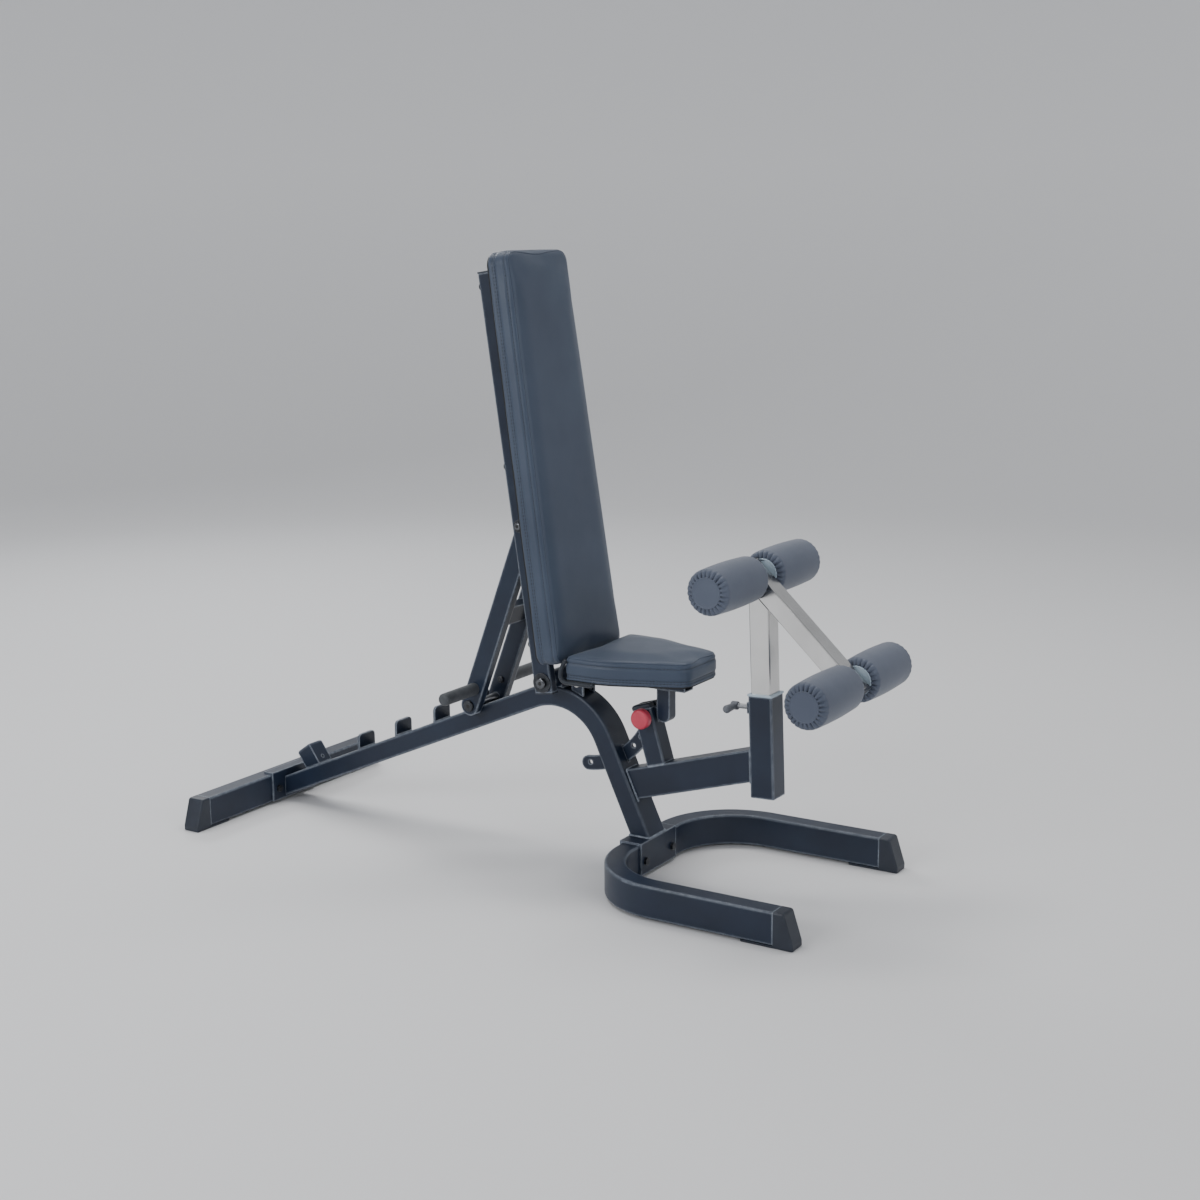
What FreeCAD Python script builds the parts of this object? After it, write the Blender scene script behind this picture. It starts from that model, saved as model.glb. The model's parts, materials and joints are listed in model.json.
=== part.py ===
"""Adjustable weight bench with a leg hold-down: one STEP file per named piece.

Millimetres, +Z up, +X towards the foot end, +Y to the bench's left.  The model is laid out
with X = 0 at the foot of the main tube and moved on export, so that the origin of the stored
part is the middle of its footprint on the floor.
"""
import FreeCAD
import Part
import math
import os

V = FreeCAD.Vector

# ---- driving dimensions -------------------------------------------------------------------
TUBE_WIDE = 76.0          # frame tube, long side
TUBE_DEEP = 50.0          # frame tube, short side
WALL = 3.0                # wall of every steel tube
TUBE_CORNER = 5.0         # outside corner radius of every tube
FOOT_PAD = 6.0            # thickness of the feet under the tubes

# main tube: a rail falling to the rear and a leg falling to the front, joined by one bend
BEND_X, BEND_Z = -167.0, 449.0
RAIL_SLOPE = 23.2         # degrees below level, towards the rear
LEG_LEAN = 24.6           # degrees off upright
SPINE_BEND = 152.0

# cross tubes on the floor
REAR_BAR_FRONT = -1126.0
REAR_BAR_HALF = 320.0
BASE_LEG_Y = 282.0
BASE_LEG_END = 488.0
BASE_BEND = 180.0

# backrest
BACK_HINGE = (-235.0, 450.0)
BACK_LEAN = 8.2           # degrees behind upright
BACK_RAIL_Y = (72.0, 97.0)
BACK_RAIL_S = (-25.0, 975.0)
PAD_BOLT_S = (93.0, 522.0, 945.0)
BOARD_THICK = 12.0
BACK_PAD_THICK = 52.0
PAD_EDGE = 16.0           # rounding of a cushion's face edge
COVER_RIM = 1.0           # how far a cushion's wrapped edge stops short of its board's far face
BOARD_INSET = 5.0         # board's edge inside the cushion's

# prop strut behind the backrest
STRUT_PIVOT_S, STRUT_PIVOT_N = 379.0, -4.0
STRUT_LEG_Y = (45.0, 70.0)
ROD_X = -473.0
ROD_R = 9.5
ROD_GAP = 0.3
GRIP_BACK = 49.0          # grip's height above the catch rod along the leg

# ladder
CATCH_X = (-487.0, -612.0, -738.0, -863.0)
CATCH_THICK = 6.0
CATCH_RISE = 40.0
CATCH_HALF = 32.0

# seat
SEAT_HINGE = (-180.0, 440.0)
SEAT_BOARD_Z = 477.0
SEAT_PAD_THICK = 50.0
SEAT_REAR_X = -142.0
ARC_INNER, ARC_OUTER = 184.0, 220.0
ARC_TOP, ARC_TAIL = -10.0, -86.0
ARC_HOLE_R = 200.0
ARC_HOLE_ANGLES = (-16.5, -25.8, -35.1, -44.4, -84.0)
ARC_THICK = 8.0

# front beam, seat post and receiver
BEAM_RISE = 16.3
BEAM_POINT = (59.0, 236.0)
BEAM_DEEP = 75.0
POST_POINT = (31.0, 283.0)
POST_TOP = 121.0
RECEIVER_FOOT = (320.0, 231.0)
RECEIVER_LEAN = 2.0
RECEIVER_SIDE = 60.0
RECEIVER_LONG = 239.0

# leg hold-down
AXLE_UPPER = (286.0, 742.0)
AXLE_LOWER = (521.0, 520.0)
ARM_DEEP = 44.0
AXLE_R = 8.0
ROLLER_R = 54.0
ROLLER_Y = (30.0, 238.0)
ROLLER_END_R = 33.0
ROLLER_LID = 6.0          # closed outer end over the axle

FIT = 0.06                # radial clearance of every turning fit
FRONT_END = AXLE_LOWER[0] + ROLLER_R
REAR_END = REAR_BAR_FRONT - TUBE_DEEP - 8.0
SHIFT = -(FRONT_END + REAR_END) / 2.0


# ---- small tools --------------------------------------------------------------------------
def box(x, y, z):
    """Block between the two ends given for each axis."""
    return Part.makeBox(x[1] - x[0], y[1] - y[0], z[1] - z[0], V(x[0], y[0], z[0]))


def rod_y(centre, radius, y):
    """Round bar along Y, centred on an (x, z) point."""
    return Part.makeCylinder(radius, y[1] - y[0], V(centre[0], y[0], centre[1]), V(0, 1, 0))


def rod_x(y, z, radius, x):
    """Round bar along X."""
    return Part.makeCylinder(radius, x[1] - x[0], V(x[0], y, z), V(1, 0, 0))


def both_sides(shape):
    """The shape and its mirror image across the bench's middle plane."""
    return [shape, shape.mirror(V(0, 0, 0), V(0, 1, 0))]


def tilted(shape, origin, degrees):
    """Turn a shape about Y so that its +Z leans towards +X, then set it at an (x, z) point."""
    turned = shape.copy()
    turned.rotate(V(0, 0, 0), V(0, 1, 0), degrees)
    turned.translate(V(origin[0], 0, origin[1]))
    return turned


def leaning_point(origin, degrees, along, across):
    """(x, z) of a point given along the tilted +Z and across along the tilted +X."""
    a = math.radians(degrees)
    return (origin[0] + along * math.sin(a) + across * math.cos(a),
            origin[1] + along * math.cos(a) - across * math.sin(a))


def rounded_outline(points, radii):
    """Closed wire in the XY plane with tangent arcs at the corners that have a radius."""
    marks = []
    count = len(points)
    for i in range(count):
        here = V(points[i][0], points[i][1], 0)
        if radii[i] == 0:
            marks.append((here, here, here))
            continue
        back = (V(*points[i - 1], 0) - here).normalize()
        ahead = (V(*points[(i + 1) % count], 0) - here).normalize()
        half = back.getAngle(ahead) / 2.0
        reach = radii[i] / math.tan(half)
        centre = here + (back + ahead).normalize() * (radii[i] / math.sin(half))
        middle = centre + (here - centre).normalize() * radii[i]
        marks.append((here + back * reach, middle, here + ahead * reach))
    edges = []
    for i in range(count):
        start, middle, end = marks[i]
        if start != end:
            edges.append(Part.Arc(start, middle, end).toShape())
        following = marks[(i + 1) % count][0]
        if (following - end).Length > 1e-6:
            edges.append(Part.LineSegment(end, following).toShape())
    return Part.Wire(edges)


def slab(points, radii, low, high):
    """Plate with the given XY outline between two heights."""
    face = Part.Face(rounded_outline(points, radii))
    face.translate(V(0, 0, low))
    return face.extrude(V(0, 0, high - low))


def side_slab(points, radii, y):
    """Plate with the given (x, z) outline between two Y positions."""
    plate = slab(points, radii, -y[1], -y[0])
    plate.rotate(V(0, 0, 0), V(1, 0, 0), 90)
    return plate


def cross_slab(points, radii, x):
    """Plate with the given (y, z) outline between two X positions."""
    plate = slab(points, radii, x[0], x[1])
    plate.rotate(V(0, 0, 0), V(1, 1, 1), 120)
    return plate


def band(path, bends, half):
    """Outline of a strip of constant width that follows a path with round bends."""
    left = []
    right = []
    left_r = []
    right_r = []
    for i, point in enumerate(path):
        here = V(*point, 0)
        before = (here - V(*path[i - 1], 0)).normalize() if i > 0 else None
        after = (V(*path[i + 1], 0) - here).normalize() if i + 1 < len(path) else None
        run_in = before or after
        run_out = after or before
        sides = V(-run_in.y - run_out.y, run_in.x + run_out.x, 0).normalize()
        stretch = half / math.cos(run_in.getAngle(run_out) / 2.0)
        turn = run_in.x * run_out.y - run_in.y * run_out.x
        grow = half if turn < 0 else -half
        left.append((here + sides * stretch)[:2])
        right.append((here - sides * stretch)[:2])
        left_r.append(bends[i] + grow if bends[i] else 0)
        right_r.append(bends[i] - grow if bends[i] else 0)
    return left + right[::-1], left_r + right_r[::-1]


def long_edges_rounded(solid, radius=TUBE_CORNER, shortest=100.0):
    """Round the edges that run along a tube, leaving its cut ends square."""
    return solid.makeFillet(radius, [e for e in solid.Edges if e.Length > shortest])


def square_tube(side_x, side_y, low, high):
    """Upright square or oblong tube, centred on Z."""
    outer = box((-side_x / 2, side_x / 2), (-side_y / 2, side_y / 2), (low, high))
    outer = long_edges_rounded(outer, 4.0)
    inner_x = side_x / 2 - WALL
    inner_y = side_y / 2 - WALL
    return outer.cut(box((-inner_x, inner_x), (-inner_y, inner_y), (low - 1, high + 1)))


def hexagon(radius, thick):
    """Hexagonal head or nut standing on the XY plane."""
    corners = [(radius * math.cos(math.radians(60 * k)), radius * math.sin(math.radians(60 * k)))
               for k in range(6)]
    return slab(corners, [0] * 6, 0, thick)


def dome(radius, thick):
    """Low round head standing on the XY plane."""
    head = Part.makeCylinder(radius, thick)
    return head.makeFillet(thick * 0.6, [head.Edges[0]])


def face_out(shape, centre, y):
    """Turn a head that stands on +Z to stand on the outer face at +Y."""
    turned = shape.copy()
    turned.rotate(V(0, 0, 0), V(1, 0, 0), -90)
    turned.translate(V(centre[0], y, centre[1]))
    return turned


def all_of(shapes):
    """One compound of separate solids."""
    return Part.makeCompound(shapes)


def export(name, shape):
    """Write one piece, moved to the footprint's origin."""
    moved = shape.copy()
    moved.translate(V(SHIFT, 0, 0))
    moved.exportStep("parts/" + name + ".step")


def rail_top(x):
    """Height of the sloping rail's upper face."""
    slope = math.radians(RAIL_SLOPE)
    return BEND_Z + (x - BEND_X) * math.tan(slope) + TUBE_DEEP / 2 / math.cos(slope)


# ---- places that several pieces share -----------------------------------------------------
ROD = (ROD_X, rail_top(ROD_X) + (ROD_R + ROD_GAP) / math.cos(math.radians(RAIL_SLOPE)))
STRUT_PIVOT = leaning_point(BACK_HINGE, -BACK_LEAN, STRUT_PIVOT_S, STRUT_PIVOT_N)
STRUT_DX = STRUT_PIVOT[0] - ROD[0]
STRUT_DZ = STRUT_PIVOT[1] - ROD[1]
STRUT_LONG = math.hypot(STRUT_DX, STRUT_DZ)
STRUT_LEAN = math.degrees(math.atan2(STRUT_DX, STRUT_DZ))


def arc_point(radius, degrees):
    """(x, z) on a circle about the seat hinge."""
    a = math.radians(degrees)
    return (SEAT_HINGE[0] + radius * math.cos(a), SEAT_HINGE[1] + radius * math.sin(a))


PIN = arc_point(ARC_HOLE_R, ARC_HOLE_ANGLES[0])


# ---- main frame ---------------------------------------------------------------------------
def spine_solid(half_deep, half_wide):
    """Filled main tube: sloping rail, bend and front leg."""
    rail = math.radians(RAIL_SLOPE)
    leg = math.radians(LEG_LEAN)
    rear = (BEND_X - 1100 * math.cos(rail), BEND_Z - 1100 * math.sin(rail))
    foot = (BEND_X + 500 * math.sin(leg), BEND_Z - 500 * math.cos(leg))
    outline, radii = band([rear, (BEND_X, BEND_Z), foot], [0, SPINE_BEND, 0], half_deep)
    solid = side_slab(outline, radii, (-half_wide, half_wide))
    return long_edges_rounded(solid, TUBE_CORNER if half_deep * 2 == TUBE_DEEP else 2.0)


def arc_slot():
    """Space that the seat's arc plate sweeps through the tubes."""
    room = 2.0
    half = ARC_THICK / 2 + 0.6
    ring = rod_y(SEAT_HINGE, ARC_OUTER + room, (-half, half))
    ring = ring.cut(rod_y(SEAT_HINGE, ARC_INNER - room, (-half - 1, half + 1)))
    reach = ARC_OUTER + 60
    quarter = box((SEAT_HINGE[0] - 60, SEAT_HINGE[0] + reach), (-half, half),
                  (SEAT_HINGE[1] - reach, SEAT_HINGE[1] + 20))
    return ring.common(quarter)


SPINE_OUTER = spine_solid(TUBE_DEEP / 2, TUBE_WIDE / 2)
SADDLE_TOP = FOOT_PAD + TUBE_WIDE + 5.0


def spine_tube():
    """Hollow main tube, cut level at the foot and upright at the rear."""
    hollow = SPINE_OUTER.cut(spine_solid(TUBE_DEEP / 2 - WALL, TUBE_WIDE / 2 - WALL))
    keep = box((REAR_BAR_FRONT + 5, 400), (-100, 100), (-50, 600))
    hollow = hollow.common(keep)
    hollow = hollow.cut(box((-200, 300), (-100, 100), (-200, SADDLE_TOP)).cut(
        box((-200, -120), (-101, 101), (-201, SADDLE_TOP + 1))))
    return hollow.cut(arc_slot())


BOLT_Y = 63.0
BOLT_Z = 40.0
BOLT_R = 5.0


def bolt_holes(front, rear):
    """Two bars along X that clear the saddle bolts."""
    bars = [rod_x(y, BOLT_Z, BOLT_R, (rear - 1, front + 1)) for y in (-BOLT_Y, BOLT_Y)]
    return all_of(bars)


def saddle_bolts():
    """Hexagon bolts that clamp both saddles to the floor tubes."""
    bolts = []
    for front, rear in ((30.0, -30.0), (REAR_BAR_FRONT + 5, REAR_BAR_FRONT - TUBE_DEEP)):
        for y in (-BOLT_Y, BOLT_Y):
            shank = rod_x(y, BOLT_Z, BOLT_R, (rear, front))
            head = hexagon(9.8, 7.0)
            head.rotate(V(0, 0, 0), V(0, 1, 0), 90)
            head.translate(V(front, y, BOLT_Z))
            nut = hexagon(9.8, 8.0)
            nut.rotate(V(0, 0, 0), V(0, 1, 0), 90)
            nut.translate(V(rear - 8.0, y, BOLT_Z))
            bolts.append(shank.fuse(head).fuse(nut).removeSplitter())
    return all_of(bolts)


def end_cap(length_under):
    """Slant-nosed plug for a floor tube: seam at x = 0, nose towards +X, foot underneath."""
    top = FOOT_PAD + TUBE_WIDE
    side = [(0, FOOT_PAD), (0, top), (25, top), (47, 14), (47, 0), (-length_under, 0),
            (-length_under, FOOT_PAD)]
    shell = side_slab(side, [0, 0, 8, 8, 3, 3, 0], (-TUBE_DEEP / 2, TUBE_DEEP / 2))
    nose = [e for e in shell.Edges if e.BoundBox.YLength < 1e-6 and e.CenterOfMass.x > 1
            and e.CenterOfMass.z > FOOT_PAD]
    shell = shell.makeFillet(TUBE_CORNER - 0.5, nose)
    inner = TUBE_DEEP / 2 - WALL
    plug = box((-18, 0), (-inner, inner), (FOOT_PAD + WALL, top - WALL))
    return shell.fuse(plug).removeSplitter()


def rear_crossbar():
    """Cross tube under the head end."""
    outer = box((REAR_BAR_FRONT - TUBE_DEEP, REAR_BAR_FRONT), (-REAR_BAR_HALF, REAR_BAR_HALF),
                (FOOT_PAD, FOOT_PAD + TUBE_WIDE))
    outer = long_edges_rounded(outer)
    inner = box((REAR_BAR_FRONT - TUBE_DEEP + WALL, REAR_BAR_FRONT - WALL),
                (-REAR_BAR_HALF - 1, REAR_BAR_HALF + 1),
                (FOOT_PAD + WALL, FOOT_PAD + TUBE_WIDE - WALL))
    return outer.cut(inner).cut(bolt_holes(REAR_BAR_FRONT + 5, REAR_BAR_FRONT - TUBE_DEEP))


def crossbar_end_caps():
    """One cap with its foot at each end of the rear cross tube."""
    cap = end_cap(70.0)
    cap.rotate(V(0, 0, 0), V(0, 0, 1), 90)
    cap.translate(V(REAR_BAR_FRONT - TUBE_DEEP / 2, REAR_BAR_HALF, 0))
    return all_of(both_sides(cap))


def base_u_tube():
    """U-shaped front base, open towards the foot end."""
    path = [(BASE_LEG_END, BASE_LEG_Y), (0, BASE_LEG_Y), (0, -BASE_LEG_Y),
            (BASE_LEG_END, -BASE_LEG_Y)]
    bends = [0, BASE_BEND, BASE_BEND, 0]
    outer = slab(*band(path, bends, TUBE_DEEP / 2), FOOT_PAD, FOOT_PAD + TUBE_WIDE)
    outer = long_edges_rounded(outer)
    inner = slab(*band(path, bends, TUBE_DEEP / 2 - WALL), FOOT_PAD + WALL,
                 FOOT_PAD + TUBE_WIDE - WALL)
    return outer.cut(inner).cut(bolt_holes(30, -30))


def base_end_caps():
    """One cap with its foot on each open end of the U."""
    cap = end_cap(80.0)
    cap.translate(V(BASE_LEG_END, BASE_LEG_Y, 0))
    return all_of(both_sides(cap))


def front_saddle_bracket():
    """Folded plate astride the back of the U, welded to the foot of the main tube."""
    outer = box((-30, 30), (-82, 82), (8, SADDLE_TOP))
    inner = box((-25, 25), (-83, 83), (7, SADDLE_TOP - 5))
    return outer.cut(inner).cut(bolt_holes(30, -30))


def rear_saddle_bracket():
    """Bolting plate between the main tube and the rear cross tube, with a lip on top."""
    front = REAR_BAR_FRONT
    plate = box((front, front + 5), (-85, 85), (8, SADDLE_TOP))
    lip = box((front - 26, front), (-85, 85), (SADDLE_TOP - 5, SADDLE_TOP))
    return plate.fuse(lip).removeSplitter().cut(bolt_holes(front + 5, front - TUBE_DEEP))


def ladder_catch(x):
    """Upright plate across the rail that stops the catch rod."""
    top = rail_top(x) + CATCH_RISE
    outline = [(-CATCH_HALF, top - CATCH_RISE - 25), (CATCH_HALF, top - CATCH_RISE - 25),
               (CATCH_HALF, top), (-CATCH_HALF, top)]
    plate = cross_slab(outline, [0, 0, 12, 12], (x - CATCH_THICK / 2, x + CATCH_THICK / 2))
    return plate.cut(SPINE_OUTER)


def ladder_stop_block():
    """Leaning box at the low end of the rail that holds the rod with the back level."""
    lean = 35.0
    front = (-1007.0, rail_top(-1007.0))
    block = box((-50, 0), (-25, 25), (-40, 62))
    long_edges = [e for e in block.Edges if abs(e.CenterOfMass.z - 62) < 1e-6]
    block = block.makeFillet(7.0, long_edges)
    hole = Part.makeCylinder(4.0, 8.0, V(-6, 0, 17), V(1, 0, 0))
    return tilted(block.cut(hole), front, -lean).cut(SPINE_OUTER)


def back_hinge_tube():
    """Bearing tube welded across the top of the bend."""
    tube = rod_y(BACK_HINGE, 22.0, (-70, 70))
    seat = box((BACK_HINGE[0] - 15, BACK_HINGE[0] + 15), (-34, 34), (410, 440))
    return tube.fuse(seat).removeSplitter().cut(SPINE_OUTER).cut(rod_y(BACK_HINGE, 10 + FIT, (-71, 71)))


def seat_hinge_lugs():
    """Two ears on the bend that carry the seat's hinge pin."""
    ear = rod_y(SEAT_HINGE, 16.0, (22, 28))
    ear = ear.fuse(box((SEAT_HINGE[0] - 16, SEAT_HINGE[0] + 16), (22, 28), (390, SEAT_HINGE[1])))
    ear = ear.removeSplitter().cut(SPINE_OUTER).cut(rod_y(SEAT_HINGE, 6.0, (20, 30)))
    return all_of(both_sides(ear))


def seat_hinge_pin():
    """Pin through both ears with a low head on each end."""
    pin = rod_y(SEAT_HINGE, 6.0, (-28, 28))
    for head in both_sides(face_out(dome(10, 5), SEAT_HINGE, 28)):
        pin = pin.fuse(head)
    return pin.removeSplitter()


def beam_solid(half_deep, half_wide):
    """Filled front beam, rising towards the receiver."""
    bar = box((-150, 262), (-half_wide, half_wide), (-half_deep, half_deep))
    return tilted(long_edges_rounded(bar, 4.0), BEAM_POINT, -BEAM_RISE)


def receiver_block(half):
    """Filled square column in the receiver's place."""
    column = box((-half, half), (-half, half), (0, RECEIVER_LONG))
    return tilted(column, RECEIVER_FOOT, -RECEIVER_LEAN)


def front_beam():
    """Tube from the front leg up to the receiver."""
    tube = beam_solid(BEAM_DEEP / 2, TUBE_DEEP / 2).cut(
        beam_solid(BEAM_DEEP / 2 - WALL, TUBE_DEEP / 2 - WALL))
    tube = tube.cut(SPINE_OUTER).cut(receiver_block(RECEIVER_SIDE / 2))
    return max(tube.Solids, key=lambda s: s.CenterOfMass.x)


def seat_post():
    """Short square tube on the beam that carries the seat's pop-pin."""
    post = tilted(square_tube(TUBE_DEEP, TUBE_DEEP, -30, POST_TOP), POST_POINT, -BEAM_RISE)
    post = post.cut(beam_solid(BEAM_DEEP / 2, TUBE_DEEP / 2)).cut(arc_slot())
    post = post.cut(rod_y(PIN, BOLT_R + FIT, (-30, 0)))
    return max(post.Solids, key=lambda s: s.Volume)


def seat_post_cap():
    """Round-edged plastic cap on the post, slotted for the arc plate."""
    cap = box((-25, 25), (-25, 25), (POST_TOP, POST_TOP + 11))
    cap = cap.makeFillet(6.0, [e for e in cap.Edges if e.CenterOfMass.z > POST_TOP + 10])
    slot = box((-30, 30), (-4.6, 4.6), (POST_TOP - 5, POST_TOP + 15))
    halves = cap.cut(slot)
    tie = box((-25, -14), (-4.6, 4.6), (POST_TOP, POST_TOP + 6))
    return tilted(halves.fuse(tie).removeSplitter(), POST_POINT, -BEAM_RISE)


LOCK_Z = 206.0            # lock screw's height up the receiver
LOCK_R = 6.0


def lock_bore(radius, reach):
    """Bar along the lock screw's axis, in the receiver's own frame."""
    return Part.makeCylinder(radius, reach, V(-20 - reach, 0, LOCK_Z), V(1, 0, 0))


def in_receiver(shape):
    """Put a shape drawn about the upright receiver in its place."""
    return tilted(shape, RECEIVER_FOOT, -RECEIVER_LEAN)


def receiver_tube():
    """Square socket for the hold-down post."""
    tube = square_tube(RECEIVER_SIDE, RECEIVER_SIDE, 0, RECEIVER_LONG)
    return in_receiver(tube.cut(lock_bore(LOCK_R + FIT, 40)))


def receiver_liner():
    """Plastic sleeve in the socket with a rim round its mouth."""
    inner = 25.1
    outer = RECEIVER_SIDE / 2 - WALL
    sleeve = box((-outer, outer), (-outer, outer), (RECEIVER_LONG - 90, RECEIVER_LONG))
    rim = box((-31, 31), (-31, 31), (RECEIVER_LONG, RECEIVER_LONG + 5))
    rim = rim.makeFillet(2.0, [e for e in rim.Edges if e.CenterOfMass.z > RECEIVER_LONG + 4])
    bore = box((-inner, inner), (-inner, inner), (0, RECEIVER_LONG + 9))
    return in_receiver(sleeve.fuse(rim).removeSplitter().cut(bore).cut(lock_bore(LOCK_R + FIT, 40)))


def receiver_boss():
    """Threaded block welded on the socket's rear face."""
    face = -RECEIVER_SIDE / 2
    block = box((face - 12, face), (-13, 13), (LOCK_Z - 13, LOCK_Z + 13))
    return in_receiver(block.cut(lock_bore(LOCK_R + FIT, 60)))


def pop_pin_housing():
    """Bush on the post's right side that guides the pop-pin."""
    bush = rod_y(PIN, 12.0, (-38, -25))
    return bush.cut(rod_y(PIN, BOLT_R + FIT, (-39, -20)))


# ---- backrest -----------------------------------------------------------------------------
def in_back(shape):
    """Put a shape drawn about an upright backrest in its place."""
    return tilted(shape, BACK_HINGE, -BACK_LEAN)


RAIL_MID_Y = sum(BACK_RAIL_Y) / 2
WASHER_Y = BACK_RAIL_Y[1] + 3.5


def pad_bolt_bars(radius, low, high):
    """Bars through the back rails at the six pad bolts."""
    bars = []
    for s in PAD_BOLT_S:
        for y in (-RAIL_MID_Y, RAIL_MID_Y):
            bars.append(Part.makeCylinder(radius, high - low, V(low, y, s), V(1, 0, 0)))
    return bars


def back_rail(side):
    """One upright of the backrest frame, drilled for its hinge, prop and pad bolts."""
    tube = square_tube(50, 25, *BACK_RAIL_S)
    tube.translate(V(0, RAIL_MID_Y, 0))
    tube = tube.cut(rod_y((0, 0), 10.0, (60, 110)))
    tube = tube.cut(rod_y((STRUT_PIVOT_N, STRUT_PIVOT_S), 6.0, (60, 110)))
    tube = tube.cut(all_of(pad_bolt_bars(4.0, -30, 30)))
    if side < 0:
        tube = tube.mirror(V(0, 0, 0), V(0, 1, 0))
    return in_back(tube)


def back_rail_caps():
    """Plastic plugs in both ends of both rails."""
    caps = []
    for end, out in ((BACK_RAIL_S[0], -1), (BACK_RAIL_S[1], 1)):
        lid = box((-25, 25), BACK_RAIL_Y, sorted((end, end + 4 * out)))
        plug = box((-22, 22), (BACK_RAIL_Y[0] + WALL, BACK_RAIL_Y[1] - WALL),
                   sorted((end, end - 10 * out)))
        caps += both_sides(lid.fuse(plug).removeSplitter())
    return in_back(all_of(caps))


def back_hinge_shaft():
    """Shaft fixed in the rails that turns in the bearing tube."""
    return rod_y(BACK_HINGE, 10.0, (-BACK_RAIL_Y[1], BACK_RAIL_Y[1]))


def back_hinge_bolts():
    """Bolt head on each end of the hinge shaft."""
    return all_of(both_sides(face_out(dome(13.5, 8), BACK_HINGE, WASHER_Y)))


def pivot_washers():
    """Black washers under the hinge and strut pivot bolt heads."""
    hinge = rod_y(BACK_HINGE, 24.0, (BACK_RAIL_Y[1], WASHER_Y))
    pivot = rod_y(STRUT_PIVOT, 15.0, (BACK_RAIL_Y[1], WASHER_Y)).cut(
        rod_y(STRUT_PIVOT, 6.0, (BACK_RAIL_Y[1] - 1, WASHER_Y + 1)))
    return all_of(both_sides(hinge) + both_sides(pivot))


def back_cross_plates():
    """Flat ties between the two rails, under the board."""
    ties = [box((19, 25), (-BACK_RAIL_Y[0], BACK_RAIL_Y[0]), (s - 32, s + 32)) for s in PAD_BOLT_S]
    return in_back(all_of(ties))


def back_outline(inset):
    """Tapered outline of the back, as (y, s) corners and radii."""
    low, high = 45.0 + inset, 1019.0 - inset
    wide, narrow = 150.0 - inset, 130.0 - inset
    return [(-wide, low), (wide, low), (narrow, high), (-narrow, high)], [28, 28, 32, 32]


def back_slab(inset, low, high):
    """Plate with the back's outline between two depths in front of the rails' mid-plane."""
    return cross_slab(*back_outline(inset), (low, high))


def back_board():
    """Plywood board behind the back pad."""
    board = back_slab(BOARD_INSET, 25.0, 25.0 + BOARD_THICK)
    return in_back(board.cut(all_of(pad_bolt_bars(4.0, 20, 35))))


def back_pad():
    """Back cushion with a rounded front edge, wrapped round the edge of its board."""
    board_front = 25.0 + BOARD_THICK
    front = board_front + BACK_PAD_THICK
    pad = back_slab(0, 25.0 + COVER_RIM, front)
    pad = pad.makeFillet(PAD_EDGE, [e for e in pad.Edges if e.BoundBox.XMin > front - 1])
    return in_back(pad.cut(back_slab(BOARD_INSET, 25.0, board_front)))


def back_pad_bolts():
    """Low-headed bolts from the rear of the rails into the board."""
    bolts = []
    for bar in pad_bolt_bars(4.0, -25, 35):
        middle = bar.CenterOfMass
        head = dome(9.0, 5.0)
        head.rotate(V(0, 0, 0), V(0, 1, 0), -90)
        head.translate(V(-25, middle.y, middle.z))
        bolts.append(bar.fuse(head).removeSplitter())
    return in_back(all_of(bolts))


def strut_pivot_bolts():
    """Bolt through each rail into the prop's leg."""
    head = face_out(dome(9.5, 7), STRUT_PIVOT, WASHER_Y)
    shank = rod_y(STRUT_PIVOT, 6.0, (41, WASHER_Y))
    nut = rod_y(STRUT_PIVOT, 10.0, (38, STRUT_LEG_Y[0] - 0.6))
    return all_of(both_sides(head.fuse(shank).fuse(nut).removeSplitter()))


# ---- prop strut ---------------------------------------------------------------------------
def in_strut(shape):
    """Put a shape drawn hanging straight down from the pivot in its place."""
    return tilted(shape, STRUT_PIVOT, STRUT_LEAN)


GRIP_AT = -STRUT_LONG + GRIP_BACK


def strut_leg(side):
    """One leg of the prop, rounded at both ends and hollow from below."""
    half = 25.0
    leg = side_slab([(-half, half), (half, half), (half, -STRUT_LONG - half),
                     (-half, -STRUT_LONG - half)], [half - 0.1] * 4, STRUT_LEG_Y)
    leg = leg.makeFillet(3.0, [e for e in leg.Edges if e.BoundBox.YLength < 1e-6])
    hollow = box((-half + WALL, half - WALL), (STRUT_LEG_Y[0] + WALL, STRUT_LEG_Y[1] - WALL),
                 (-STRUT_LONG - half - 5, -25))
    leg = leg.cut(hollow).cut(rod_y((0, 0), 6.0 + FIT, (40, 75)))
    leg = leg.cut(rod_y((0, -STRUT_LONG), ROD_R, (40, 75)))
    if side < 0:
        leg = leg.mirror(V(0, 0, 0), V(0, 1, 0))
    return in_strut(leg)


def strut_cross_member():
    """Flat tube that ties the two legs together."""
    outer = box((-12.5, 12.5), (-STRUT_LEG_Y[0], STRUT_LEG_Y[0]), (-276, -226))
    inner = box((-9.5, 9.5), (-STRUT_LEG_Y[0] - 1, STRUT_LEG_Y[0] + 1), (-273, -229))
    return in_strut(outer.cut(inner))


def catch_rod():
    """Round bar between the leg ends that drops in front of a ladder catch."""
    return rod_y(ROD, ROD_R, (-STRUT_LEG_Y[1], STRUT_LEG_Y[1]))


def catch_rod_bolts():
    """Round head on each end of the catch rod."""
    return all_of(both_sides(face_out(dome(14, 6), ROD, STRUT_LEG_Y[1])))


def grip_centre():
    """(x, z) of the grips' axis."""
    return leaning_point(STRUT_PIVOT, STRUT_LEAN, GRIP_AT, 0)


def handle_grips():
    """Rubber grip standing out from each leg, closed and rounded at its end."""
    grip = rod_y(grip_centre(), 15.5, (STRUT_LEG_Y[1], 201))
    grip = grip.makeFillet(8.0, [e for e in grip.Edges if e.BoundBox.YMin > 200])
    return all_of(both_sides(grip))


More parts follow.
